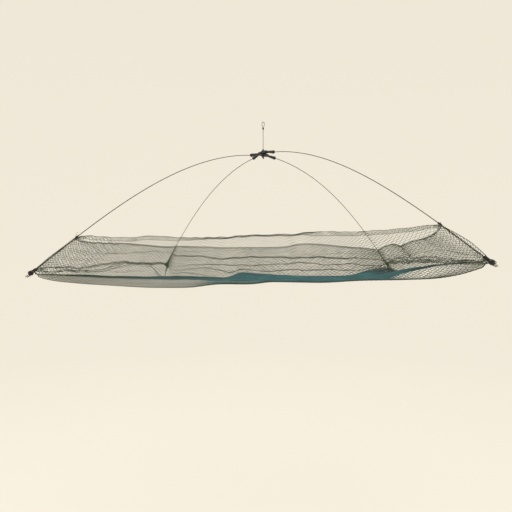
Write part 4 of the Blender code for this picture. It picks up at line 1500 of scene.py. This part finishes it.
def left_wall() -> Wall:
    """The left wall, with one thick gather that rises from the front foot and fans out from it.

    Returns:
        The wall.
    """
    return Wall(
        "left", SIDE_CELLS, SIDE, flat_height=0.232, start="front_left", end="back_left", outward=(-1, 0),
        bulge=0.01, turn=5.2,
        seam=table(
            Seam,
            (0.0, 0.0, -0.025), (0.06, 0.006, -0.027), (0.13, 0.012, -0.031), (0.2, 0.015, -0.034),
            (0.28, 0.018, -0.038), (0.38, 0.02, -0.045), (0.5, 0.022, -0.049), (0.66, 0.02, -0.057),
            (0.8, 0.014, -0.061), (0.9, 0.01, -0.06), (0.975, 0.005, -0.054), (1.0, 0.0, -0.009),
        ),
        hem=table(
            Hem,
            (0.0, 0.0, 0.0, 0.5), (0.022, 0.0045, 0.001, 0.3), (0.065, 0.0076, 0.002, 0.4),
            (0.146, 0.0078, 0.003, 0.5), (0.206, 0.007, 0.003, 0.7), (0.303, 0.0058, 0.003, 1.0),
            (0.409, 0.0046, 0.001, 1.0), (0.485, 0.0051, -0.001, 1.0), (0.574, 0.0048, -0.002, 0.6),
            (0.709, 0.0047, -0.001, 0.3), (0.861, 0.004, 0.0, 0.3), (0.963, 0.0014, 0.0, 0.4),
            (1.0, 0.0, 0.0, 0.5),
        ),
        folds=table(
            Fold,
            (0.1, 0.36, 0.98, 0.28, 0.06, 0.005), (0.12, 0.76, 0.95, 0.58, 0.08, 0.008),
        ),
        gathers=(
            gather(
                cloth=0.024, band=0.0035, depth=0.0025, course=(
                    (0.0, 0.03, 0.3), (0.24, 0.03, 0.5), (0.32, 0.03, 1.0), (0.55, 0.03, 1.0),
                    (0.62, 0.03, 0.4), (1.0, 0.03, 0.5),
                ),
            ),
            gather(
                cloth=0.015, band=0.003, depth=0.003, course=(
                    (0.0, 0.34, 0.0), (0.2, 0.34, 0.2), (0.3, 0.34, 0.6), (0.41, 0.28, 0.7),
                    (0.54, 0.24, 0.9), (0.71, 0.18, 1.0), (0.93, 0.2, 1.0), (1.0, 0.2, 0.8),
                ),
            ),
            gather(
                cloth=0.06, band=0.008, depth=0.005, turns=4, course=(
                    (0.0, 0.97, 1.0), (0.012, 0.93, 0.8), (0.023, 0.88, 0.6), (0.047, 0.84, 0.6),
                    (0.08, 0.81, 0.6), (0.12, 0.79, 0.7), (0.17, 0.79, 0.7), (0.255, 0.72, 0.8),
                    (0.34, 0.61, 0.9), (0.45, 0.57, 1.0), (0.6, 0.57, 1.0), (0.78, 0.55, 1.0),
                    (0.88, 0.56, 1.0), (0.95, 0.62, 1.0), (1.0, 0.9, 1.0),
                ),
            ),
            gather(
                cloth=0.05, band=0.009, depth=0.003, course=(
                    (0.0, 0.99, 1.0), (0.02, 0.98, 0.8), (0.06, 0.94, 0.8), (0.09, 0.9, 0.9),
                    (0.13, 0.86, 0.9), (0.18, 0.9, 0.9), (0.26, 0.86, 0.9), (0.36, 0.75, 0.9),
                    (0.475, 0.66, 0.8), (0.607, 0.61, 0.4), (0.7, 0.62, 0.5), (0.743, 0.64, 0.8),
                    (0.777, 0.75, 0.8), (0.843, 0.89, 0.8), (0.878, 0.97, 0.6), (1.0, 0.99, 0.0),
                ),
            ),
            gather(
                cloth=0.02, band=0.004, depth=0.003, course=(
                    (0.0, 0.995, 0.0), (0.2, 0.97, 0.0), (0.358, 0.84, 0.6), (0.473, 0.84, 0.6),
                    (0.61, 0.79, 0.6), (0.7, 0.79, 0.3), (0.74, 0.82, 0.0), (0.78, 0.9, 0.0),
                    (0.85, 0.97, 0.0), (0.9, 0.99, 0.0), (1.0, 0.995, 0.0),
                ),
            ),
        ),
    )


def make_walls() -> dict[str, Wall]:
    """The four walls, by name."""
    return {wall.name: wall for wall in (front_wall(), right_wall(), back_wall(), left_wall())}


# ---------------------------------------------------------------- floor


@dataclass
class FloorPanel(Panel):
    """The floor of the net, hung on its four seams and sagging between them."""

    walls: dict[str, Wall] = field(default_factory=dict)
    sections: tuple[Floor, ...] = ()
    folds: tuple[Fold, ...] = ()
    first_section: float = 0.07
    last_section: float = 0.93
    edge_room: float = 0.0012
    ripple_height: float = 0.0016
    ripple_turn: float = 1.1
    edge_rise: float = 4.0

    def hung_level(self, along: np.ndarray, back: np.ndarray) -> np.ndarray:
        """The floor's level where it hangs free, from the front seam to the back seam.

        Args:
            along: places from the left side to the right, 0 to 1.
            back: places from the front seam to the back seam, 0 to 1.

        Returns:
            The level at each place.
        """
        front, rear = (self.walls[name].seam_point(along)[..., 2] for name in ("front", "back"))
        columns = ("front", "middle", "back")
        rises = [smooth_value(self.sections, column, along) + TIP_LEVEL for column in columns]
        made = smooth_value(self.sections, "brim", along)
        brim = front * (1 - made) + rises[0] * made
        levels = np.stack([level.reshape(-1) for level in (front, brim, *rises, rear)])
        stations = np.array((0.0, self.first_section / 2, self.first_section, 0.5, self.last_section, 1.0))
        return hermite(stations, levels, back)

    def surface(self, along: np.ndarray, back: np.ndarray) -> np.ndarray:
        """Points on the floor's main shape.

        Args:
            along: places from the left side to the right, 0 to 1.
            back: places from the front seam to the back seam, 0 to 1.

        Returns:
            The points.
        """
        front, rear = self.walls["front"].seam_point(along), self.walls["back"].seam_point(along)
        left, right = self.walls["left"].seam_point(back), self.walls["right"].seam_point(back)
        near = mix(RIBS["front_left"].tip, RIBS["front_right"].tip, along)
        far = mix(RIBS["back_left"].tip, RIBS["back_right"].tip, along)
        point = mix(front, rear, back) + mix(left, right, along) - mix(near, far, back)
        side = np.where(along < 0.5, 0.0, 1.0)
        seam = np.where(along < 0.5, left[..., 2], right[..., 2])
        from_side = np.clip(np.minimum(along, 1 - along) / self.first_section, 0, 1)
        lifted = (seam - self.hung_level(side, back)) * (1 - from_side)
        point[..., 2] = self.hung_level(along, back) + lifted
        fade = np.clip(np.sin(math.pi * along) * np.sin(math.pi * back) * self.edge_rise, 0, 1)
        wave = ripple(along, back, self.ripple_height, self.ripple_turn)
        point[..., 2] += (fold_height(self.folds, along, back) + wave) * fade
        return point

    def place(self, along: np.ndarray, down: np.ndarray) -> np.ndarray:
        """The hung place of the netting.

        Args:
            along: places from the left side to the right, 0 to 1.
            down: places from the front seam to the back seam, 0 to 1.

        Returns:
            The points.
        """
        along, down = np.broadcast_arrays(np.asarray(along, float), np.asarray(down, float))
        share = 1 - 2 * self.edge_room
        return kept_off_fittings(self.surface(self.edge_room + along * share, self.edge_room + down * share))

    def build(self) -> None:
        """Makes the floor as three pieces, from front to back."""
        names = ("front", "middle", "back")
        stops = [round(self.rows * step / len(names)) for step in range(len(names) + 1)]
        for label, first, last in zip(names, stops, stops[1:]):
            strands = Strands()
            self.netting(strands, first, last)
            piece = strands.piece(f"floor_netting_{label}", Finish.FLOOR_TWINE, "floor_netting", "net_floor")
            hung_on = [f"lacing_{side}" for side in ("left", "right", *({label} & {"front", "back"}))]
            self.declare(piece, self.flat_height * (last - first) / self.rows, hung_on)


def make_floor(walls: dict[str, Wall]) -> FloorPanel:
    """The floor panel, with the table of its cross-sections.

    Args:
        walls: the four walls, by name.

    Returns:
        The panel.
    """
    return FloorPanel(
        "floor", FLOOR_CELLS, SIDE, SIDE, walls=walls,
        sections=table(
            Floor,
            (0.0, -0.028, -0.05, -0.055), (0.05, -0.031, -0.052, -0.062), (0.1, -0.034, -0.053, -0.065),
            (0.17, -0.037, -0.054, -0.065), (0.28, -0.039, -0.054, -0.066), (0.37, -0.041, -0.054, -0.047),
            (0.48, -0.042, -0.055, -0.052, 0.3), (0.62, -0.042, -0.055, -0.056, 0.2),
            (0.74, -0.039, -0.053, -0.056, 0.1), (0.82, -0.032, -0.049, -0.053, 0.05),
            (0.87, -0.014, -0.043, -0.046, 0.04), (0.94, -0.004, -0.034, -0.032, 0.3),
            (1.0, 0.0, -0.02, -0.024),
        ),
        folds=table(
            Fold,
            (0.1, 0.15, 0.45, 0.3, 0.05, 0.005), (0.15, 0.55, 0.6, 0.62, 0.06, -0.004),
            (0.55, 0.25, 0.92, 0.4, 0.05, 0.004), (0.02, 0.98, 0.22, 0.7, 0.05, 0.006),
            (0.98, 0.98, 0.8, 0.72, 0.05, 0.005),
        ),
    )


# ---------------------------------------------------------------- lacing


@dataclass
class Lacing:
    """The cord along a floor edge, with the twine that whips wall and floor to it."""

    wall: Wall
    radius: float = 0.0009
    start_radius: float = 0.0009
    whipping: float = 0.00035
    turn_length: float = 0.010
    turn_steps: int = 7
    line_steps: int = 601
    thins: tuple[float, float] = (0.2, 0.42)
    twist: Twist = Twist(8, 3, 0.009)

    def thickness(self, steps: int) -> np.ndarray:
        """The cord's radius at evenly spaced steps, pulled thinner towards its start."""
        return np.interp(np.linspace(0, 1, steps), self.thins, (self.start_radius, self.radius))

    def line(self) -> np.ndarray:
        """The cord's centre, from one corner's lashing to the other's.

        Returns:
            Its points, without those too close to a rib's tip.
        """
        keep_off = RIB_CLEARANCE + CORD_RADIUS
        along = np.linspace(0, 1, self.line_steps)
        points = kept_off_fittings(self.wall.seam_point(along))
        clear = np.ones(len(along), bool)
        for name in (self.wall.start, self.wall.end):
            clear &= from_axis(points, *RIBS[name].before_tip(0.0))[2] >= keep_off
        return points[clear]

    def build(self) -> bpy.types.Object:
        """Makes the cord and its whipping as one piece.

        Returns:
            The piece.
        """
        line = self.line()
        strands = Strands()
        strands.add(line, self.thickness(len(line)), self.twist)
        turns = lengths_along(line)[-1] / self.turn_length
        steps = round(turns * self.turn_steps)
        reach = self.thickness(steps) + self.whipping * 0.8
        strands.add(helix(line, reach, turns, steps), self.whipping)
        name = self.wall.name
        return strands.piece(f"lacing_cord_{name}", Finish.LACING, "lacing_cord", f"lacing_{name}")


# ---------------------------------------------------------------- what is at a corner


@dataclass
class Fitting:
    """Something on a rib, near the net's corner."""

    rib: Rib

    @property
    def name(self) -> str:
        """The corner's name."""
        return self.rib.corner.name


@dataclass
class RibWire(Fitting):
    """The spring wire itself."""

    twist: Twist = Twist(10)

    def build(self) -> bpy.types.Object:
        """Makes the wire, from the bottom of its socket to its tip.

        Returns:
            The piece.
        """
        seat = np.linspace(SOCKET_DEPTH, SOCKET_DEPTH / 4, 3)[:, None]
        line = np.concatenate([self.rib.mouth - self.rib.leaving * seat, self.rib.points])
        strands = Strands()
        strands.add(line, RIB_RADIUS, self.twist)
        return strands.piece(f"rib_wire_{self.name}", Finish.SPRING_WIRE, "spring_wire", f"rib_{self.name}")


@dataclass
class EndCap(Fitting):
    """The moulded cap on the rib's end: a round-ended sleeve with a collar where the wire goes in."""

    bore: float = 0.004
    sides: int = 24
    # how far ahead of the rib's tip each of its rings lies, and the ring's share of the cap's radius
    rings: ClassVar[tuple[tuple[float, float], ...]] = (
        (-CAP_BEFORE, 0.80), (-CAP_BEFORE + 0.0005, 0.88), (-CAP_BEFORE + 0.0018, 0.88),
        (-CAP_BEFORE + 0.0023, 0.78), (-0.004, 0.90), (0.0010, 0.97), (CAP_BEYOND - 0.0012, 0.86),
        (CAP_BEYOND - 0.0003, 0.55), (CAP_BEYOND, 0.0),
    )

    def build(self) -> bpy.types.Object:
        """Makes the cap.

        Returns:
            The piece.
        """
        inner, bottom = RIB_RADIUS + GAP, -CAP_BEFORE + self.bore
        profile = [(0.0, bottom), (inner, bottom), (inner, -CAP_BEFORE)]
        profile += [(CAP_RADIUS * share, ahead) for ahead, share in self.rings]
        mesh = turned(f"end_cap_{self.name}", profile, self.sides)
        spot = self.rib.spot(0.0)
        turn = Vector(spot.ahead).to_track_quat("Z", "Y").to_matrix().to_4x4()
        mesh.transform(Matrix.Translation(Vector(spot.point)) @ turn)
        mesh.set_sharp_from_angle(angle=math.radians(SHARP_ANGLE))
        return add_piece(mesh.name, mesh, Finish.BLACK_PLASTIC, (f"tip_cap_{self.name}",))


@dataclass
class Lashing(Fitting):
    """The thread wound round the cap and round the netting that is bunched behind it."""

    thread: float = LASHING * 0.62
    twist: Twist = Twist(6, 2, 0.005)
    span: tuple[float, float] = (CAP_BEFORE * 0.62, -0.0005 + CAP_BEFORE * 0.10)
    turns: float = 5.0
    steps: int = 100
    start: float = 0.4
    cone: tuple[float, float] = (0.0030, CAP_RADIUS * 0.8)
    cone_start: float = 1.1
    turn_steps: int = 20
    spacing: float = 2.1
    # the last pass, back along the cap over the turns: how far ahead of the tip, and the turn round it
    last_pass: ClassVar[tuple[tuple[float, float], ...]] = (
        (-0.010, 2.6), (-0.006, 2.2), (-0.002, 1.9), (0.0015, 2.1), (0.0025, 2.8), (0.0, 3.4)
    )

    def build(self) -> bpy.types.Object:
        """Makes the turns, the last pass over them and the cut end.

        Returns:
            The piece.
        """
        strands = Strands()
        line = self.rib.stretch(*self.span, 12)
        wrap = helix(line, CAP_RADIUS + self.thread, self.turns, self.steps, self.start)
        strands.add(wrap, self.thread, self.twist)
        reach = BUNCH_WRAP[self.name]
        bunch = self.rib.stretch(CAP_BEFORE + reach, CAP_BEFORE + self.thread, 12)
        turns = round(reach / (self.spacing * self.thread))
        steps = turns * self.turn_steps
        cone = helix(bunch, np.linspace(*self.cone, steps), turns, steps, self.cone_start)
        strands.add(cone, self.thread, self.twist)
        spot = self.rib.spot(0.0)
        last = wrap[-1]
        bowed = last + UP * 0.002 + spot.side * 0.002
        tail = curved((last, bowed, last + spot.side * 0.0045 - UP * 0.001), 10)
        strands.add(tail, self.thread * 0.9, PLAIN_THREAD)
        over = spot.around(self.last_pass, CAP_RADIUS + LASHING * 1.6)
        strands.add(curved(over, 24), self.thread, PLAIN_THREAD)
        return strands.piece(
            f"corner_wrap_{self.name}", Finish.THREAD, "tie_thread", f"corner_lashing_{self.name}"
        )


@dataclass
class CornerKnot(Fitting):
    """The pale overhand knot that the corner's cord ends in, with its two short ends."""

    size: float = KNOT_RADIUS * 0.72
    twist: Twist = Twist(8, 3, 0.004)
    # each end: which end of the knot, and the places it passes, ahead of the knot's middle and above it
    ends: ClassVar[tuple[tuple[int, tuple[tuple[float, float], ...]], ...]] = (
        (-1, ((0.0024, 0.001), (0.0042, 0.0016))),
        (0, ((-0.002, -0.0012), (-0.0048, -0.0044))),
    )

    def build(self) -> bpy.types.Object:
        """Makes the knot.

        Returns:
            The piece.
        """
        spot = self.rib.spot(0.0)
        centre = spot.point + spot.ahead * (CAP_BEYOND + KNOT_RADIUS + GAP)
        angle = np.linspace(0.15, math.tau - 0.15, 60)
        knot = (
            centre + spot.side * ((np.sin(angle) + 2 * np.sin(2 * angle)) * self.size * 0.34)[:, None]
            + spot.up * ((np.cos(angle) - 2 * np.cos(2 * angle)) * self.size * 0.34)[:, None]
            - spot.ahead * (np.sin(3 * angle) * self.size * 0.55)[:, None]
        )
        strands = Strands()
        strands.add(knot, self.size * 0.62, self.twist)
        for end, places in self.ends:
            passed = (centre + spot.ahead * ahead + spot.up * above for ahead, above in places)
            strands.add(curved((knot[end], *passed), 8), self.size * 0.5, self.twist)
        return strands.piece(
            f"corner_knot_{self.name}", Finish.PALE_CORD, "pale_cord", f"tip_knot_{self.name}"
        )


@dataclass
class HemTie(Fitting):
    """The hem's tie: close turns round the rib, a hitch across them, and the thread's free ends."""

    thread: float = 0.00045
    twist: Twist = Twist(6, 2, 0.003)
    turns: int = 9
    turn_steps: int = 16
    swell: float = 0.12
    sunk: float = 0.0014
    hitch_radius: float = TIE_RADIUS - 0.0008
    knot_half: float = 0.0011
    knot_radii: tuple[float, ...] = (0.0004, 0.0009, 0.0011, 0.0009, 0.0004)
    # the hitch: how far ahead of the tie's middle each place lies, and its turn round the rib
    hitch: ClassVar[tuple[tuple[float, float], ...]] = (
        (-0.0045, 0.2), (-0.002, 1.0), (0.001, 1.8), (0.003, 2.4), (0.002, 3.0), (-0.001, 2.6)
    )
    # how far each free end reaches
    ends: ClassVar[dict[str, tuple[tuple[float, float, float], ...]]] = {
        "front_left": ((0.0060, -0.0010, 0.0100), (0.0030, -0.0015, 0.0040)),
        "others": ((0.0016, -0.0012, 0.0022), (-0.0018, -0.0010, 0.0012)),
    }

    def build(self) -> bpy.types.Object:
        """Makes the tie.

        Returns:
            The piece.
        """
        back = self.rib.corner.tie_back
        spot = self.rib.spot(back)
        strands = Strands()
        line = self.rib.stretch(back + TIE_LENGTH / 2 - self.thread, back - TIE_LENGTH / 2 + self.thread, 12)
        steps = self.turns * self.turn_steps
        bulge = 1 + self.swell * np.sin(np.linspace(0, math.pi, steps))
        wrap = helix(line, (TIE_RADIUS - self.sunk) * bulge, self.turns, steps)
        strands.add(wrap, self.thread, self.twist)
        hitch = spot.around(self.hitch, self.hitch_radius)
        strands.add(curved(hitch, 24), self.thread, PLAIN_THREAD)
        knot = spot.point + spot.up * (self.hitch_radius + self.thread * 0.6)
        places = np.linspace(-self.knot_half, self.knot_half, len(self.knot_radii))
        ball = np.stack([knot + spot.side * x for x in places])
        strands.add(ball, np.array(self.knot_radii), Twist(8))
        for end in self.ends.get(self.name, self.ends["others"]):
            reach = np.array(end)
            bowed = knot + reach * 0.5 + UP * 0.25 * np.linalg.norm(reach)
            strands.add(curved((knot, bowed, knot + reach), 8), self.thread * 0.7, Twist(5))
        return strands.piece(f"hem_wrap_{self.name}", Finish.THREAD, "tie_thread", f"hem_tie_{self.name}")


@dataclass
class RibLacing(Fitting):
    """The twine that spirals down the rib from tie to cap and holds the walls' edges to it."""

    reach: float = 0.0023
    twine: float = 0.00048
    turn_length: float = 0.0042
    turn_steps: int = 9

    def build(self) -> bpy.types.Object:
        """Makes the spiral.

        Returns:
            The piece.
        """
        line = self.rib.stretch(self.rib.corner.tie_back - TIE_LENGTH * 0.55, CAP_BEFORE + 0.001, 60)
        turns = round(lengths_along(line)[-1] / self.turn_length)
        strands = Strands()
        strands.add(helix(line, self.reach, turns, turns * self.turn_steps), self.twine, DOUBLED_TWINE)
        return strands.piece(f"rib_lacing_{self.name}", Finish.LACING, "lacing_cord")


# ---------------------------------------------------------------- hub


@dataclass
class Hub:
    """The folding hub: two moulded bars that cross on a hollow rivet, which the line comes out of."""

    solids: tuple[str, ...] = ("hub_lower_bar", "hub_upper_bar", "hub_rivet")

    def dress(self) -> None:
        """Gives the hub's solids their finish."""
        for name in self.solids:
            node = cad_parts[name]
            node.data.materials.clear()
            node.data.materials.append(Finish.BLACK_PLASTIC.material())
            LOG.info("%s: dressed", name)


# ---------------------------------------------------------------- lift line


@dataclass
class LiftLine:
    """The taut line from under the hub to the loop that the net hangs by."""

    rivet_bottom: float = TIP_LEVEL + LOWER_BAR_RISE - PLATE_THICKNESS / 2 - GAP - RIVET_FOOT
    twist: Twist = Twist(9, 3, 0.0055, 0.2)
    knot_twist: Twist = Twist(8, 3, 0.005)
    steps: int = 420
    path_step: int = 20
    stop_drop: float = 0.0030
    stop_reach: float = 0.0021
    stop_height: float = 0.0017
    stop_cord: float = 0.00115
    stop_tail: float = 0.0008
    loop_steps: int = 72
    close_reach: float = 0.0019
    close_half: float = 0.0024
    close_turns: float = 2.5
    close_cord: float = 0.00105

    def build(self) -> bpy.types.Object:
        """Returns:
            The line's piece.
        """
        start = self.rivet_bottom - GAP
        finish = -LOOP_HEIGHT - 2 * LOOP_KNOT - GAP
        line = np.zeros((self.steps + 1, 3))
        line[:, 2] = np.linspace(start, finish, self.steps + 1)
        strands = Strands()
        strands.add(line, LINE_RADIUS, self.twist)
        piece = strands.piece("lift_line_cord", Finish.LINE, "line_cord", "lift_line")
        knot = self.build_stop_knot(start)
        loop = self.build_loop()
        return piece

    def build_stop_knot(self, start: float) -> bpy.types.Object:
        """Makes the doubled overhand knot under the hub, with its cut end.

        Args:
            start: the height of the line's foot.

        Returns:
            The piece.
        """
        strands = Strands()
        centre = np.array((0.0, 0.0, start - self.stop_drop - GAP))
        angle = np.linspace(0.1, math.tau * 2 - 0.1, 110)
        rise = self.stop_height * np.sin(angle * 0.75 + 0.4)
        wound = np.stack([np.cos(angle) * self.stop_reach, np.sin(angle) * self.stop_reach, rise], axis=-1)
        strands.add(centre + wound, self.stop_cord, self.knot_twist)
        bowed = centre - UP * 0.002 + (0.0012, 0, 0)
        tail = curved((centre, bowed, centre - UP * 0.0042 + (0.002, 0.0005, 0)), 10)
        strands.add(tail, self.stop_tail, self.knot_twist)
        return strands.piece("stop_knot_cord", Finish.THREAD, "tie_thread", "stop_knot")

    def build_loop(self) -> bpy.types.Object:
        """Makes the loop at the top, and the knot that closes it.

        Returns:
            The piece.
        """
        half = LOOP_HEIGHT / 2
        angle = np.arange(self.loop_steps) * math.tau / self.loop_steps
        width = LOOP_WIDTH / 2 * (1 - LOOP_TAPER + LOOP_TAPER * np.sin(angle))
        level = -LOOP_HEIGHT + half - LINE_RADIUS + np.sin(angle) * half
        strands = Strands()
        ring = np.stack([np.cos(angle) * width, np.zeros_like(angle), level], axis=-1)
        strands.add(ring, LINE_RADIUS, self.twist, closed=True)
        centre = np.array((0.0, 0.0, -LOOP_HEIGHT - LOOP_KNOT))
        turn = np.linspace(0.0, math.tau * self.close_turns, 130)
        rise = np.linspace(-self.close_half, self.close_half, 130)
        wound = np.stack([np.cos(turn) * self.close_reach, np.sin(turn) * self.close_reach, rise], axis=-1)
        strands.add(centre + wound, self.close_cord, self.knot_twist)
        return strands.piece("top_loop_cord", Finish.LINE, "line_cord", "top_loop")


# ---------------------------------------------------------------- studio


@dataclass(frozen=True)
class SoftLight:
    """A square soft light: its name, where it hangs, its side in metres, its power in watts, its colour."""

    name: str
    place: tuple[float, float, float]
    size: float
    power: float
    colour: tuple[float, float, float]


@dataclass
class Studio:
    """The camera, a pale bowl-shaped backdrop with its floor, and soft lights."""

    camera_place: tuple[float, float, float] = (0.1123, -1.4039, -0.470)
    camera_turn: float = 5.538
    lens: float = 29.75
    sensor: float = 36.0
    shift: float = 7 / 512
    nearest: float = 0.01
    radius: float = 6.0
    floor_level: float = -1.45
    height: float = 6.6
    fillet: float = 2.4
    fillet_steps: int = 12
    sides: int = 64
    paper: tuple[float, ...] = (0.24, 0.23, 0.20, 1.0)
    paper_glow: tuple[float, ...] = (0.90, 0.842, 0.742, 1.0)
    glow: float = 0.72
    room_colour: tuple[float, ...] = (1.0, 0.93, 0.82, 1.0)
    room_light: float = 0.9
    aim: tuple[float, float, float] = (0, 0, -0.4)
    lights: tuple[SoftLight, ...] = (
        SoftLight("above", (0.4, -0.6, 2.2), 2.4, 60.0, (1.0, 0.97, 0.92)),
        SoftLight("side", (-2.2, -1.6, 1.2), 1.6, 25.0, (1.0, 0.98, 0.95)),
    )

    def add_camera(self) -> None:
        """Adds the camera, level, at the height of the net's corners."""
        data = bpy.data.cameras.new("camera")
        data.lens = self.lens
        data.sensor_width = self.sensor
        data.shift_y = self.shift
        data.clip_start = self.nearest
        camera = bpy.data.objects.new("camera", data)
        camera.location = self.camera_place
        camera.rotation_euler = (math.pi / 2, 0.0, math.radians(self.camera_turn))
        bpy.context.scene.collection.objects.link(camera)
        bpy.context.scene.camera = camera

    def backdrop_mesh(self) -> bpy.types.Mesh:
        """A round floor that curves up into a wall on every side.

        Returns:
            Its mesh, without a finish.
        """
        level, flat = self.floor_level, self.radius - self.fillet
        profile = [(self.radius, level + self.height)]
        for step in range(self.fillet_steps, 0, -1):
            angle = math.pi / 2 * step / self.fillet_steps
            rise = self.fillet * (1 - math.cos(angle))
            profile.append((flat + math.sin(angle) * self.fillet, level + rise))
        return turned("backdrop", [*profile, (flat, level), (0.0, level)], self.sides)

    def add_backdrop(self) -> None:
        """Adds the backdrop, with its pale paper."""
        mesh = self.backdrop_mesh()
        backdrop = bpy.data.objects.new("backdrop", mesh)
        bpy.context.scene.collection.objects.link(backdrop)
        tree = Tree("pale_paper")
        tree.shader.inputs["Base Color"].default_value = self.paper
        tree.shader.inputs["Roughness"].default_value = 0.9
        tree.shader.inputs["Specular IOR Level"].default_value = 0.0
        tree.shader.inputs["Emission Color"].default_value = self.paper_glow
        tree.shader.inputs["Emission Strength"].default_value = self.glow
        mesh.materials.append(tree.material)

    def add_light(self, soft: SoftLight) -> None:
        """Adds a soft light that faces the net.

        Args:
            soft: the light.
        """
        data = bpy.data.lights.new(soft.name, "AREA")
        data.size = soft.size
        data.energy = soft.power
        data.color = soft.colour
        light = bpy.data.objects.new(soft.name, data)
        light.location = soft.place
        light.rotation_euler = (Vector(self.aim) - Vector(soft.place)).to_track_quat("-Z", "Y").to_euler()
        bpy.context.scene.collection.objects.link(light)

    def build(self) -> None:
        """Makes the world, the backdrop and the lights."""
        world = bpy.data.worlds.new("room")
        world.use_nodes = True
        world.node_tree.nodes["Background"].inputs["Color"].default_value = self.room_colour
        world.node_tree.nodes["Background"].inputs["Strength"].default_value = self.room_light
        bpy.context.scene.world = world
        bpy.context.scene.view_settings.view_transform = "Standard"
        self.add_backdrop()
        for soft in self.lights:
            self.add_light(soft)
        LOG.info("studio ready")


def main() -> None:
    """Builds the camera and the cords, then the corners, the netting, the hub and the studio."""
    logging.basicConfig(level=logging.INFO, format="%(name)s %(message)s")
    studio = Studio()
    studio.add_camera()
    LiftLine().build()
    walls = make_walls()
    for wall in walls.values():
        (Lacing(wall, 0.0011, 0.0005, 0.0003) if wall.name == "front" else Lacing(wall)).build()
    for rib in RIBS.values():
        for kind in (RibWire, EndCap, Lashing, CornerKnot, HemTie, RibLacing):
            kind(rib).build()
    for wall in walls.values():
        wall.build()
    make_floor(walls).build()
    Hub().dress()
    studio.build()


if __name__ == "__main__":
    main()
